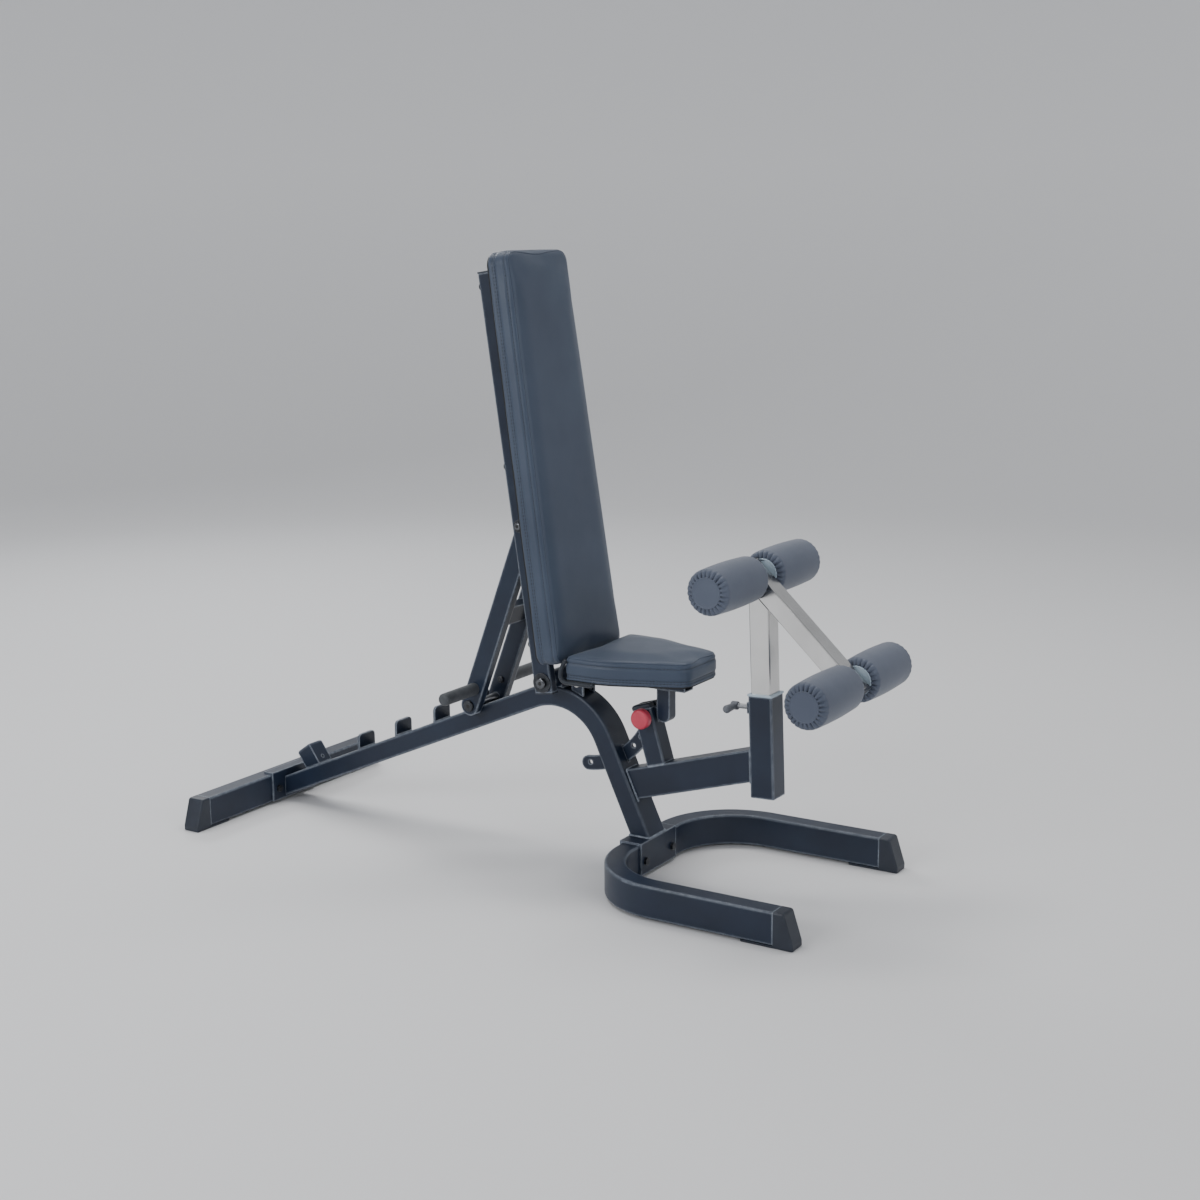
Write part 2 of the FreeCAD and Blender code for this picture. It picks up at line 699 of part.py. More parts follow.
def grip_bolts():
    """Bolt head on the inner face of each leg behind its grip."""
    head = face_out(dome(9, 5), (0, 0), 0)
    head.rotate(V(0, 0, 0), V(1, 0, 0), 180)
    head.translate(V(grip_centre()[0], STRUT_LEG_Y[0], grip_centre()[1]))
    return all_of(both_sides(head))


# ---- seat ---------------------------------------------------------------------------------
SEAT_FRAME_Z = (452.0, SEAT_BOARD_Z)
SEAT_FLAT_X = (-88.0, 62.0)
SEAT_BOLT_Y = 62.0


def seat_bolt_bars(radius, low, high):
    """Upright bars at the seat's four bolts."""
    bars = []
    for x in SEAT_FLAT_X:
        for y in (-SEAT_BOLT_Y, SEAT_BOLT_Y):
            bars.append(Part.makeCylinder(radius, high - low, V(x, y, low)))
    return bars


def seat_frame():
    """Middle tube under the seat with two flat cross straps."""
    low, high = SEAT_FRAME_Z
    tube = box((-196, 112), (-20, 20), (low, high))
    hollow = box((-150, 113), (-17, 17), (low + WALL, high - WALL))
    frame = tube.cut(hollow)
    for x in SEAT_FLAT_X:
        strap = box((x - 16, x + 16), (-80, 80), (high - 6, high))
        frame = frame.fuse(strap)
    frame = frame.removeSplitter().cut(rod_y(SEAT_HINGE, 13.0, (-30, 30)))
    return frame.cut(all_of(seat_bolt_bars(4.0, high - 10, high + 1)))


def seat_hinge_sleeve():
    """Bearing sleeve under the rear of the seat frame."""
    sleeve = rod_y(SEAT_HINGE, 13.0, (-21.5, 21.5))
    return sleeve.cut(rod_y(SEAT_HINGE, 6.0 + FIT, (-22, 22)))


def arc_plate_solid():
    """Quadrant plate about the seat hinge, with its row of lock holes."""
    half = ARC_THICK / 2
    ring = rod_y(SEAT_HINGE, ARC_OUTER, (-half, half)).cut(
        rod_y(SEAT_HINGE, ARC_INNER, (-half - 1, half + 1)))
    reach = 2 * ARC_OUTER
    wedge = side_slab([SEAT_HINGE, arc_point(reach, ARC_TAIL), arc_point(reach * 1.5, -50),
                       arc_point(reach, ARC_TOP)], [0] * 4, (-half, half))
    plate = ring.common(wedge)
    plate = plate.fuse(rod_y(arc_point((ARC_INNER + ARC_OUTER) / 2, ARC_TAIL),
                             (ARC_OUTER - ARC_INNER) / 2, (-half, half)))
    plate = plate.fuse(box((30, 58), (-half, half), (384, 430))).removeSplitter()
    for angle in ARC_HOLE_ANGLES:
        plate = plate.cut(rod_y(arc_point(ARC_HOLE_R, angle), 5.6, (-half - 1, half + 1)))
    return plate


def seat_hanger():
    """Bracket from the seat frame down to the top of the arc plate."""
    hanger = side_slab([(34, 372), (68, 372), (68, SEAT_FRAME_Z[0]), (34, SEAT_FRAME_Z[0])],
                       [15, 15, 0, 0], (-15, 15))
    return hanger.cut(arc_plate_solid())


def seat_outline(inset):
    """Outline of the seat: square at the back, tapering to a round nose."""
    wide, nose = 150.0 - inset, 78.0 - inset
    rear, front = SEAT_REAR_X + inset, 154.0 - inset
    corners = [(rear, wide), (-40, wide), (front, nose), (front, -nose), (-40, -wide),
               (rear, -wide)]
    return corners, [14, 220, 38, 38, 220, 14]


def seat_board():
    """Plywood board under the seat pad."""
    board = slab(*seat_outline(BOARD_INSET), SEAT_BOARD_Z, SEAT_BOARD_Z + BOARD_THICK)
    return board.cut(all_of(seat_bolt_bars(4.0, SEAT_BOARD_Z - 1, SEAT_BOARD_Z + 9)))


def seat_pad():
    """Seat cushion with a rounded upper edge, wrapped round the edge of its board."""
    board_top = SEAT_BOARD_Z + BOARD_THICK
    high = board_top + SEAT_PAD_THICK
    pad = slab(*seat_outline(0), SEAT_BOARD_Z + COVER_RIM, high)
    pad = pad.makeFillet(PAD_EDGE, [e for e in pad.Edges if e.BoundBox.ZMin > high - 1])
    return pad.cut(slab(*seat_outline(BOARD_INSET), SEAT_BOARD_Z, board_top))


def seat_bolts():
    """Low-headed bolts from the straps into the board."""
    low = SEAT_FRAME_Z[1] - 6
    bolts = []
    for bar in seat_bolt_bars(4.0, low, SEAT_BOARD_Z + 9):
        middle = bar.CenterOfMass
        head = dome(9.0, 5.0)
        head.rotate(V(0, 0, 0), V(1, 0, 0), 180)
        head.translate(V(middle.x, middle.y, low))
        bolts.append(bar.fuse(head).removeSplitter())
    return all_of(bolts)


# ---- pop-pin ------------------------------------------------------------------------------
def pop_pin_plunger():
    """Pin that slides in its bush, its tip just clear of the arc plate."""
    return rod_y(PIN, BOLT_R, (-46, -ARC_THICK / 2 - 0.5))


def pop_pin_knob():
    """Round pull knob on the outer end of the pin."""
    knob = rod_y(PIN, 24.0, (-62, -44))
    knob = knob.makeFillet(6.0, [e for e in knob.Edges if e.BoundBox.YMax < -61])
    collar = rod_y(PIN, 11.0, (-44, -40))
    return knob.fuse(collar).removeSplitter().cut(rod_y(PIN, BOLT_R, (-46, -30)))


# ---- leg hold-down ------------------------------------------------------------------------
ARM_DX = AXLE_LOWER[0] - AXLE_UPPER[0]
ARM_DZ = AXLE_UPPER[1] - AXLE_LOWER[1]
ARM_FALL = math.degrees(math.atan2(ARM_DZ, ARM_DX))
ARM_LONG = math.hypot(ARM_DX, ARM_DZ)
ARM_END = 30.0


def arm_solid(half_deep, half_wide, low, high):
    """Filled bar along the slanting arm."""
    bar = box((low, high), (-half_wide, half_wide), (-half_deep, half_deep))
    return tilted(bar, AXLE_UPPER, ARM_FALL)


def holddown_post():
    """Chrome tube in the socket, mitred under the arm."""
    tube = in_receiver(square_tube(50, 50, 60, 620))
    above = tilted(box((-600, 800), (-100, 100), (-ARM_DEEP / 2, 700)), AXLE_UPPER, ARM_FALL)
    return tube.cut(above)


def holddown_arm():
    """Chrome tube that carries both roller axles."""
    bar = long_edges_rounded(arm_solid(ARM_DEEP / 2, 25, -ARM_END, ARM_LONG + ARM_END), 3.5).cut(
        arm_solid(ARM_DEEP / 2 - WALL, 25 - WALL, -ARM_END - 1, ARM_LONG + ARM_END + 1))
    for axle in (AXLE_UPPER, AXLE_LOWER):
        bar = bar.cut(rod_y(axle, AXLE_R, (-30, 30)))
    return bar


def arm_end_plugs():
    """Plastic plugs in both ends of the arm."""
    half = ARM_DEEP / 2
    upper = arm_solid(half, 25, -ARM_END - 5, -ARM_END)
    upper = upper.fuse(arm_solid(half - WALL, 25 - WALL, -ARM_END, -ARM_END + 12))
    lower = arm_solid(half, 25, ARM_LONG + ARM_END, ARM_LONG + ARM_END + 5)
    lower = lower.fuse(arm_solid(half - WALL, 25 - WALL, ARM_LONG + ARM_END - 12,
                                 ARM_LONG + ARM_END))
    return all_of([upper.removeSplitter(), lower.removeSplitter()])


def roller_axles():
    """Two bars through the arm, each with a collar on both sides of it."""
    end = ROLLER_Y[1] - ROLLER_LID - 1
    bars = []
    for centre in (AXLE_UPPER, AXLE_LOWER):
        bar = rod_y(centre, AXLE_R, (-end, end))
        for collar in both_sides(rod_y(centre, 12.0, (25, ROLLER_Y[0] - 1))):
            bar = bar.fuse(collar)
        bars.append(bar.removeSplitter())
    return all_of(bars)


def roller(centre, side):
    """Padded roller, closed at its outer end, turning freely on its axle."""
    low, high = ROLLER_Y
    body = rod_y(centre, ROLLER_R, (low, high))
    body = body.makeFillet(ROLLER_R - ROLLER_END_R,
                           [e for e in body.Edges if e.BoundBox.YMax - e.BoundBox.YMin < 1])
    body = body.cut(rod_y(centre, AXLE_R + FIT, (low - 1, high - ROLLER_LID)))
    if side < 0:
        body = body.mirror(V(0, 0, 0), V(0, 1, 0))
    return body


# ---- lock handle --------------------------------------------------------------------------
LOCK_OUT = -78.0          # lock handle's elbow, behind the receiver's axis


def lock_screw():
    """Threaded clamping screw, its tip just clear of the post."""
    return in_receiver(Part.makeCylinder(LOCK_R, -25.4 - LOCK_OUT, V(LOCK_OUT, 0, LOCK_Z),
                                         V(1, 0, 0)))


def lock_grip():
    """Bent grip on the screw's outer end, with a bulb at its tip."""
    hub = Part.makeCylinder(10.0, 18.0, V(LOCK_OUT - 10, 0, LOCK_Z), V(1, 0, 0))
    hub = hub.makeFillet(3.0, [hub.Edges[0], hub.Edges[2]])
    stalk = Part.makeCone(7.0, 9.5, 40.0, V(LOCK_OUT - 1, 0, LOCK_Z), V(0, -1, 0))
    bulb = Part.makeSphere(9.6, V(LOCK_OUT - 1, -40, LOCK_Z))
    grip = hub.fuse(stalk).fuse(bulb).removeSplitter()
    return in_receiver(grip.cut(Part.makeCylinder(LOCK_R, 80, V(LOCK_OUT, 0, LOCK_Z), V(1, 0, 0))))


# ---- every piece --------------------------------------------------------------------------
def pieces():
    """Name and shape of each node."""
    yield "spine_tube", spine_tube()
    yield "rear_crossbar", rear_crossbar()
    yield "crossbar_end_caps", crossbar_end_caps()
    yield "base_u_tube", base_u_tube()
    yield "base_end_caps", base_end_caps()
    yield "front_saddle_bracket", front_saddle_bracket()
    yield "rear_saddle_bracket", rear_saddle_bracket()
    yield "saddle_bolts", saddle_bolts()
    for number, x in enumerate(CATCH_X, start=1):
        yield "ladder_catch_%d" % number, ladder_catch(x)
    yield "ladder_stop_block", ladder_stop_block()
    yield "back_hinge_tube", back_hinge_tube()
    yield "seat_hinge_lugs", seat_hinge_lugs()
    yield "seat_hinge_pin", seat_hinge_pin()
    yield "front_beam", front_beam()
    yield "seat_post", seat_post()
    yield "seat_post_cap", seat_post_cap()
    yield "receiver_tube", receiver_tube()
    yield "receiver_liner", receiver_liner()
    yield "receiver_boss", receiver_boss()
    yield "pop_pin_housing", pop_pin_housing()
    yield "back_rail_left", back_rail(1)
    yield "back_rail_right", back_rail(-1)
    yield "back_rail_caps", back_rail_caps()
    yield "back_hinge_shaft", back_hinge_shaft()
    yield "back_hinge_bolts", back_hinge_bolts()
    yield "pivot_washers", pivot_washers()
    yield "back_cross_plates", back_cross_plates()
    yield "back_board", back_board()
    yield "back_pad", back_pad()
    yield "back_pad_bolts", back_pad_bolts()
    yield "strut_pivot_bolts", strut_pivot_bolts()
    yield "strut_leg_left", strut_leg(1)
    yield "strut_leg_right", strut_leg(-1)
    yield "strut_cross_member", strut_cross_member()
    yield "catch_rod", catch_rod()
    yield "catch_rod_bolts", catch_rod_bolts()
    yield "handle_grips", handle_grips()
    yield "grip_bolts", grip_bolts()
    yield "seat_frame", seat_frame()
    yield "seat_hinge_sleeve", seat_hinge_sleeve()
    yield "seat_hanger", seat_hanger()
    yield "seat_arc_plate", arc_plate_solid()
    yield "seat_board", seat_board()
    yield "seat_pad", seat_pad()
    yield "seat_bolts", seat_bolts()
    yield "pop_pin_plunger", pop_pin_plunger()
    yield "pop_pin_knob", pop_pin_knob()
    yield "holddown_post", holddown_post()
    yield "holddown_arm", holddown_arm()
    yield "arm_end_plugs", arm_end_plugs()
    yield "roller_axles", roller_axles()
    for place, centre in (("upper", AXLE_UPPER), ("lower", AXLE_LOWER)):
        for hand, side in (("left", 1), ("right", -1)):
            yield "roller_%s_%s" % (place, hand), roller(centre, side)
    yield "lock_screw", lock_screw()
    yield "lock_grip", lock_grip()


os.makedirs("parts", exist_ok=True)
for name, shape in pieces():
    export(name, shape)
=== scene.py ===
"""Looks of the adjustable weight bench: upholstery, rollers, welds, finishes, light and camera."""
import bmesh
import bpy
import json
import math
import numpy
from mathutils import Matrix, Vector
from mathutils.bvhtree import BVHTree
from mathutils.geometry import intersect_point_line
from mathutils.kdtree import KDTree


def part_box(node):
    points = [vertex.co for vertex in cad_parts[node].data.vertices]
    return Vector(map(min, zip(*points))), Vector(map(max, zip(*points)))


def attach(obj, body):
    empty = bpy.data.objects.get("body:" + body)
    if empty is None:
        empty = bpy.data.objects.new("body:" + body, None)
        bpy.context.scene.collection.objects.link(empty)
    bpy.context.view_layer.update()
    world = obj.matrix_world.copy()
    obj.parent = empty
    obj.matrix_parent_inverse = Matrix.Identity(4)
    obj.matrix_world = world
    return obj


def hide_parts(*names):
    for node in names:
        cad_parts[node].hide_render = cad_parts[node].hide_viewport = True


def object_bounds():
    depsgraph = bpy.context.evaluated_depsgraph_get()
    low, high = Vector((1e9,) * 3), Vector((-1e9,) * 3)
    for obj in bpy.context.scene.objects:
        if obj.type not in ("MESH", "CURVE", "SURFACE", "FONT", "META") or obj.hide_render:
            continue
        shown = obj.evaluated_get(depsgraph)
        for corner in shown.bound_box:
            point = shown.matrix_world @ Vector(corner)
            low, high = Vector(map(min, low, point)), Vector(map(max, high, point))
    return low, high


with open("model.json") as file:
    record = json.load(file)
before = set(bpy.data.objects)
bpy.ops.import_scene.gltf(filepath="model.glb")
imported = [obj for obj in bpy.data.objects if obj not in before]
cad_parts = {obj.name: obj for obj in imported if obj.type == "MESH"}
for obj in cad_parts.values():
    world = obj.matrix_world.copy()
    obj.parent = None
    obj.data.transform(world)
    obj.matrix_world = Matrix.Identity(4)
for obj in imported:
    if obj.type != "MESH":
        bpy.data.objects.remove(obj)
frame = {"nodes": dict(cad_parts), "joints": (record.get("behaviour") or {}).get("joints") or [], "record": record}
CAD_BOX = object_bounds()
JOINTS = {j["name"]: j for j in frame["joints"]}


def joint_at(name):
    """Where a joint's axis stands, in metres."""
    return Vector(JOINTS[name]["pos_m"])


# ---- sizes and places ---------------------------------------------------------------------
BACK_HINGE = joint_at("back_recline")
SEAT_HINGE = joint_at("seat_tilt")
BACK_LEAN = math.radians(8.2)
BACK_REAR, BACK_FRONT = 0.026, 0.089     # board's back and cushion's face, forward of the hinge line
BACK_LOW, BACK_HIGH = 0.045, 1.019       # cushion's range up the backrest
BACK_WIDE, BACK_NARROW = 0.150, 0.130    # half widths at the lower and upper ends
SEAT_LOW, SEAT_HIGH = (c.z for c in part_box("seat_pad"))
SEAT_REAR, SEAT_FRONT = (c.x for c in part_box("seat_pad"))
SEAT_WIDE, SEAT_NOSE = 0.150, 0.078      # half widths at the rear and at the front
BOARD_THICK = 0.012
SEAT_SHOULDER = SEAT_HINGE.x + 0.140     # where the seat starts to taper
ROLLER_LOW, ROLLER_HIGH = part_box("roller_upper_left")
ROLLER_IN, ROLLER_OUT = ROLLER_LOW.y, ROLLER_HIGH.y
ROLLER_R = (ROLLER_HIGH.z - ROLLER_LOW.z) / 2
ROLLER_DISC_R = 0.0335
PLEATS = 25
POINTS_PER_PLEAT = 10

CLOTH_STEPS = 20
CLOTH_PRESSURE = 3.0
CLOTH_STIFFNESS = 45.0
CLOTH_SHEAR_SHARE = 0.6
CLOTH_BENDING = 8.0
EVENING_PASSES = 14
GROOVE_WIDTH, GROOVE_DEPTH = 0.0030, 0.0024
STITCH_LENGTH, STITCH_GAP, STITCH_R = 0.0044, 0.0016, 0.0007
OUTLINE_STEP = 0.004
WALL_PROBE = 0.06                        # how far outside a cushion's wall a ray starts

TO_BACK = Matrix.Translation(BACK_HINGE) @ Matrix.Rotation(-BACK_LEAN, 4, "Y")


# ---- materials ----------------------------------------------------------------------------
class Finish:
    """A node material with helpers for procedural colour, roughness and bump."""

    NEARLY_FLAT, SHARP = 0.992, 0.94     # cosines between the rounded and the true normal

    def __init__(self, name, colour, roughness, metallic=0.0):
        self.material = bpy.data.materials.new(name)
        self.material.use_nodes = True
        self.tree = self.material.node_tree
        self.shader = self.tree.nodes["Principled BSDF"]
        self.shader.inputs["Base Color"].default_value = (*colour, 1)
        self.shader.inputs["Roughness"].default_value = roughness
        self.shader.inputs["Metallic"].default_value = metallic
        self.place = self.tree.nodes.new("ShaderNodeTexCoord").outputs["Object"]
        self.normal = None

    def node(self, kind, **settings):
        made = self.tree.nodes.new(kind)
        for key, value in settings.items():
            setattr(made, key, value)
        return made

    def link(self, start, end):
        self.tree.links.new(start, end)

    def stretched(self, scale):
        """Object coordinates with a different scale along each axis."""
        mapping = self.node("ShaderNodeMapping")
        mapping.inputs["Scale"].default_value = scale
        self.link(self.place, mapping.inputs["Vector"])
        return mapping.outputs["Vector"]

    def noise(self, scale, detail=4.0, rough=0.55, where=None):
        texture = self.node("ShaderNodeTexNoise")
        texture.inputs["Scale"].default_value = scale
        texture.inputs["Detail"].default_value = detail
        texture.inputs["Roughness"].default_value = rough
        self.link(where or self.place, texture.inputs["Vector"])
        return texture.outputs["Fac"]

    def cells(self, scale, feature="F1"):
        texture = self.node("ShaderNodeTexVoronoi", feature=feature)
        texture.inputs["Scale"].default_value = scale
        self.link(self.place, texture.inputs["Vector"])
        return texture.outputs["Distance"]

    def ramp(self, value, stops):
        """Colour ramp over a value; stops are (position, grey or colour)."""
        ramp = self.node("ShaderNodeValToRGB")
        elements = ramp.color_ramp.elements
        while len(elements) < len(stops):
            elements.new(0.5)
        for element, (position, colour) in zip(elements, stops):
            element.position = position
            if isinstance(colour, float):
                colour = (colour, colour, colour)
            element.color = (*colour, 1)
        self.link(value, ramp.inputs["Fac"])
        return ramp.outputs["Color"]

    def tint(self, value, stops):
        self.link(self.ramp(value, stops), self.shader.inputs["Base Color"])

    def gloss(self, value, low, high):
        spread = self.node("ShaderNodeMapRange")
        spread.inputs["To Min"].default_value = low
        spread.inputs["To Max"].default_value = high
        self.link(value, spread.inputs["Value"])
        self.link(spread.outputs["Result"], self.shader.inputs["Roughness"])

    def edge_wear_and_highlight(self, radius, colour, amount):
        """Lighten the base colour where the surface bends sharply, broken up by noise; stands for rubbed wear and,
        on the frame, also for a painted highlight along the edges.
        """
        bevel = self.node("ShaderNodeBevel", samples=4)
        bevel.inputs["Radius"].default_value = radius
        plain = self.node("ShaderNodeNewGeometry")
        compare = self.node("ShaderNodeVectorMath", operation="DOT_PRODUCT")
        self.link(bevel.outputs["Normal"], compare.inputs[0])
        self.link(plain.outputs["Normal"], compare.inputs[1])
        mask = self.node("ShaderNodeMapRange")
        mask.inputs["From Min"].default_value = self.NEARLY_FLAT
        mask.inputs["From Max"].default_value = self.SHARP
        mask.inputs["To Max"].default_value = amount
        self.link(compare.outputs["Value"], mask.inputs["Value"])
        broken = self.node("ShaderNodeMath", operation="MULTIPLY")
        self.link(mask.outputs["Result"], broken.inputs[0])
        self.link(self.ramp(self.noise(60.0, 6.0, 0.7), [(0.30, 0.35), (0.62, 1.0)]), broken.inputs[1])
        mix = self.node("ShaderNodeMix", data_type="RGBA")
        base = self.shader.inputs["Base Color"]
        self.link(base.links[0].from_socket, mix.inputs["A"])
        mix.inputs["B"].default_value = (*colour, 1)
        self.link(broken.outputs["Value"], mix.inputs["Factor"])
        self.link(mix.outputs["Result"], base)

    def bump(self, height, strength, distance):
        bump = self.node("ShaderNodeBump")
        bump.inputs["Strength"].default_value = strength
        bump.inputs["Distance"].default_value = distance
        self.link(height, bump.inputs["Height"])
        if self.normal:
            self.link(self.normal, bump.inputs["Normal"])
        self.normal = bump.outputs["Normal"]
        self.link(self.normal, self.shader.inputs["Normal"])


def powder_coat():
    """Satin black paint with a blue cast and orange peel; its pale edges are partly rubbed wear and partly a
    painted highlight standing in for light caught on the rounded tube edges.
    """
    f = Finish("powder_coat", (0.014, 0.024, 0.045), 0.4)
    f.tint(f.noise(7.0, 6.0), [(0.35, (0.0105, 0.0170, 0.0330)), (0.62, (0.0140, 0.0230, 0.0440)),
                               (0.80, (0.0210, 0.0320, 0.0560))])
    # pale edge colour: painted highlight along the tube edges, partly rubbed wear
    f.edge_wear_and_highlight(0.006, (0.40, 0.45, 0.52), 0.75)
    f.gloss(f.noise(11.0, 8.0, 0.65), 0.24, 0.44)
    f.bump(f.noise(1100.0, 2.0), 0.14, 0.0006)
    f.bump(f.noise(260.0, 3.0), 0.08, 0.0008)
    f.shader.inputs["Specular IOR Level"].default_value = 0.35
    return f.material


def vinyl(name, dark, light, rough, grain, sheen):
    """Upholstery vinyl with a pebbled grain and uneven gloss."""
    f = Finish(name, dark, rough)
    f.tint(f.noise(5.0, 6.0), [(0.30, dark), (0.72, light)])
    f.gloss(f.noise(18.0, 6.0), rough - 0.05, rough + 0.09)
    f.bump(f.noise(14.0, 3.0), 0.10, 0.004)
    f.bump(f.cells(grain, "SMOOTH_F1"), 0.30, 0.0006)
    f.bump(f.noise(grain * 1.9, 3.0), 0.22, 0.0003)
    f.shader.inputs["Specular IOR Level"].default_value = 0.38
    f.shader.inputs["Sheen Weight"].default_value = sheen
    f.shader.inputs["Sheen Roughness"].default_value = 0.45
    return f.material


def chrome():
    """Plated steel with drawn streaks and light handling marks."""
    f = Finish("chrome", (0.62, 0.61, 0.60), 0.14, 1.0)
    f.gloss(f.noise(30.0, 6.0, 0.6, f.stretched((1.0, 8.0, 0.35))), 0.10, 0.26)
    f.tint(f.noise(9.0, 4.0), [(0.3, (0.56, 0.555, 0.545)), (0.7, (0.66, 0.655, 0.645))])
    f.bump(f.noise(220.0, 3.0, 0.6, f.stretched((1.0, 1.0, 0.08))), 0.05, 0.0005)
    return f.material


def painted_reflection_chrome():
    """Plating on the pivot bolts with a dark base colour, a painted reflection of the dark frame round it."""
    # dark base colour and tint: painted dark reflection on the chrome bolt heads
    f = Finish("painted_reflection_chrome", (0.13, 0.135, 0.145), 0.18, 1.0)
    f.gloss(f.noise(120.0, 5.0), 0.12, 0.26)
    f.tint(f.noise(60.0, 4.0), [(0.3, (0.10, 0.105, 0.115)), (0.7, (0.17, 0.175, 0.185))])
    f.bump(f.noise(500.0, 2.0), 0.08, 0.0003)
    return f.material


def zinc():
    """Dull plated hardware."""
    f = Finish("zinc", (0.42, 0.43, 0.45), 0.34, 1.0)
    f.gloss(f.noise(120.0, 5.0), 0.24, 0.46)
    f.tint(f.noise(60.0, 4.0), [(0.3, (0.34, 0.35, 0.37)), (0.7, (0.52, 0.53, 0.55))])
    f.bump(f.noise(500.0, 2.0), 0.10, 0.0003)
    return f.material


def black_zinc():
    """Blackened plating on bolts and washers, rubbed on its edges."""
    f = Finish("black_zinc", (0.045, 0.048, 0.054), 0.36, 0.85)
    f.tint(f.noise(70.0, 4.0), [(0.3, (0.030, 0.033, 0.038)), (0.7, (0.070, 0.074, 0.082))])
    f.edge_wear_and_highlight(0.0012, (0.34, 0.35, 0.37), 0.6)
    f.gloss(f.noise(130.0, 5.0), 0.26, 0.46)
    f.bump(f.noise(500.0, 2.0), 0.10, 0.0003)
    return f.material


def moulded(name, dark, light, rough):
    """Moulded plastic or rubber with a fine spark-eroded grain."""
    f = Finish(name, dark, rough)
    f.tint(f.noise(20.0, 5.0), [(0.3, dark), (0.75, light)])
    f.gloss(f.noise(45.0, 5.0), rough - 0.07, rough + 0.08)
    f.bump(f.noise(700.0, 3.0), 0.18, 0.0004)
    return f.material


def ribbed_rubber():
    """Grip rubber with fine rings along its length."""
    f = Finish("grip_rubber", (0.035, 0.038, 0.043), 0.6)
    f.tint(f.noise(40.0, 5.0), [(0.3, (0.040, 0.045, 0.052)), (0.75, (0.075, 0.081, 0.090))])
    wave = f.node("ShaderNodeTexWave", bands_direction="Y")
    wave.inputs["Scale"].default_value = 60.0
    f.link(f.place, wave.inputs["Vector"])
    f.bump(wave.outputs["Fac"], 0.35, 0.0008)
    f.bump(f.noise(600.0, 3.0), 0.2, 0.0004)
    return f.material


def backing_cloth():
    """Black non-woven cloth stapled over the boards' rear faces."""
    f = Finish("backing_cloth", (0.014, 0.015, 0.017), 0.85)
    f.tint(f.noise(300.0, 4.0), [(0.3, (0.010, 0.011, 0.012)), (0.8, (0.026, 0.027, 0.030))])
    f.bump(f.cells(900.0), 0.4, 0.0005)
    f.bump(f.noise(90.0, 4.0), 0.2, 0.001)
    return f.material


FINISHES = {
    "frame_paint": powder_coat(),
    "chrome": chrome(),
    "pad_vinyl": vinyl("pad_vinyl", (0.037, 0.053, 0.085), (0.052, 0.073, 0.112), 0.42, 620.0, 0.10),
    "roller_vinyl": vinyl("roller_vinyl", (0.061, 0.076, 0.112), (0.086, 0.104, 0.146), 0.50, 800.0,
                          0.18),
    "plywood": backing_cloth(),
    "black_plastic": moulded("black_plastic", (0.010, 0.015, 0.026), (0.018, 0.025, 0.040), 0.42),
    "pale_plastic": moulded("pale_plastic", (0.34, 0.43, 0.51), (0.46, 0.56, 0.64), 0.30),
    "red_plastic": moulded("red_plastic", (0.50, 0.040, 0.072), (0.64, 0.075, 0.118), 0.36),
    "grip_rubber": ribbed_rubber(),
    "zinc": zinc(),
    "black_zinc": black_zinc(),
}
PIPING = vinyl("dark_piping", (0.012, 0.016, 0.024), (0.022, 0.028, 0.038), 0.44, 620.0, 0.1)
THREAD = vinyl("stitch_thread", (0.010, 0.012, 0.015), (0.022, 0.026, 0.031), 0.62, 1800.0, 0.1)
# pivot bolt heads get the chrome with the painted dark reflection
PIVOT_BOLT = painted_reflection_chrome()
LOCK_GRIP = moulded("lock_grip", (0.12, 0.13, 0.15), (0.19, 0.20, 0.23), 0.48)
# near-black: painted shade inside the bolt heads' socket recesses
SOCKET_SHADE = moulded("socket_shadow", (0.004, 0.004, 0.005), (0.010, 0.010, 0.011), 0.5)
OWN_FINISH = {"lock_grip": LOCK_GRIP, "back_hinge_bolts": PIVOT_BOLT, "strut_pivot_bolts": PIVOT_BOLT}


def finish_cad_nodes():
    """Give every CAD node the finish that its record slot names, or its own where it has one."""
    for entry in frame["record"]["subparts"]:
        node = frame["nodes"][entry["node"]]
        if not node.material_slots:
            node.data.materials.append(None)
        for place in node.material_slots:
            place.material = FINISHES[entry["material_slot"]]
    for name, material in OWN_FINISH.items():
        frame["nodes"][name].material_slots[0].material = material


# ---- mesh tools ---------------------------------------------------------------------------
def piece(name, mesh, body, slot, material=None, smooth=True):
    """A shown object from a mesh, with its finish and the body that it rides on."""
    made = bpy.data.objects.new(name, mesh)
    bpy.context.scene.collection.objects.link(made)
    mesh.materials.clear()
    mesh.materials.append(material or FINISHES[slot])
    mesh.polygons.foreach_set("use_smooth", [smooth] * len(mesh.polygons))
    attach(made, body)
    return made


def grid_mesh(name, rings):
    """Skin a list of equal-length rings of points and close both ends."""
    count = len(rings[0])
    points = [p for ring in rings for p in ring]
    faces = []
    for i in range(len(rings) - 1):
        low = i * count
        high = (i + 1) * count
        for k in range(count):
            following = (k + 1) % count
            faces.append((low + k, low + following, high + following, high + k))
    faces.append(tuple(range(count))[::-1])
    faces.append(tuple(range(len(points) - count, len(points))))
    mesh = bpy.data.meshes.new(name)
    mesh.from_pydata(points, [], faces)
    mesh.update()
    return mesh


def tube_rows(path, radius, closed, sides):
    """Rings of a round cord along a path, kept from twisting by a carried normal."""
    rows = []
    side = None
    count = len(path)
    for i, point in enumerate(path):
        before = path[i - 1] if i > 0 or closed else point
        after = path[(i + 1) % count] if i + 1 < count or closed else point
        along = (after - before).normalized()
        if side is None:
            side = along.orthogonal().normalized()
        side = (side - along * side.dot(along)).normalized()
        across = along.cross(side)
        rows.append([point + (side * math.cos(t) + across * math.sin(t)) * radius
                     for t in (2 * math.pi * k / sides for k in range(sides))])
    return rows


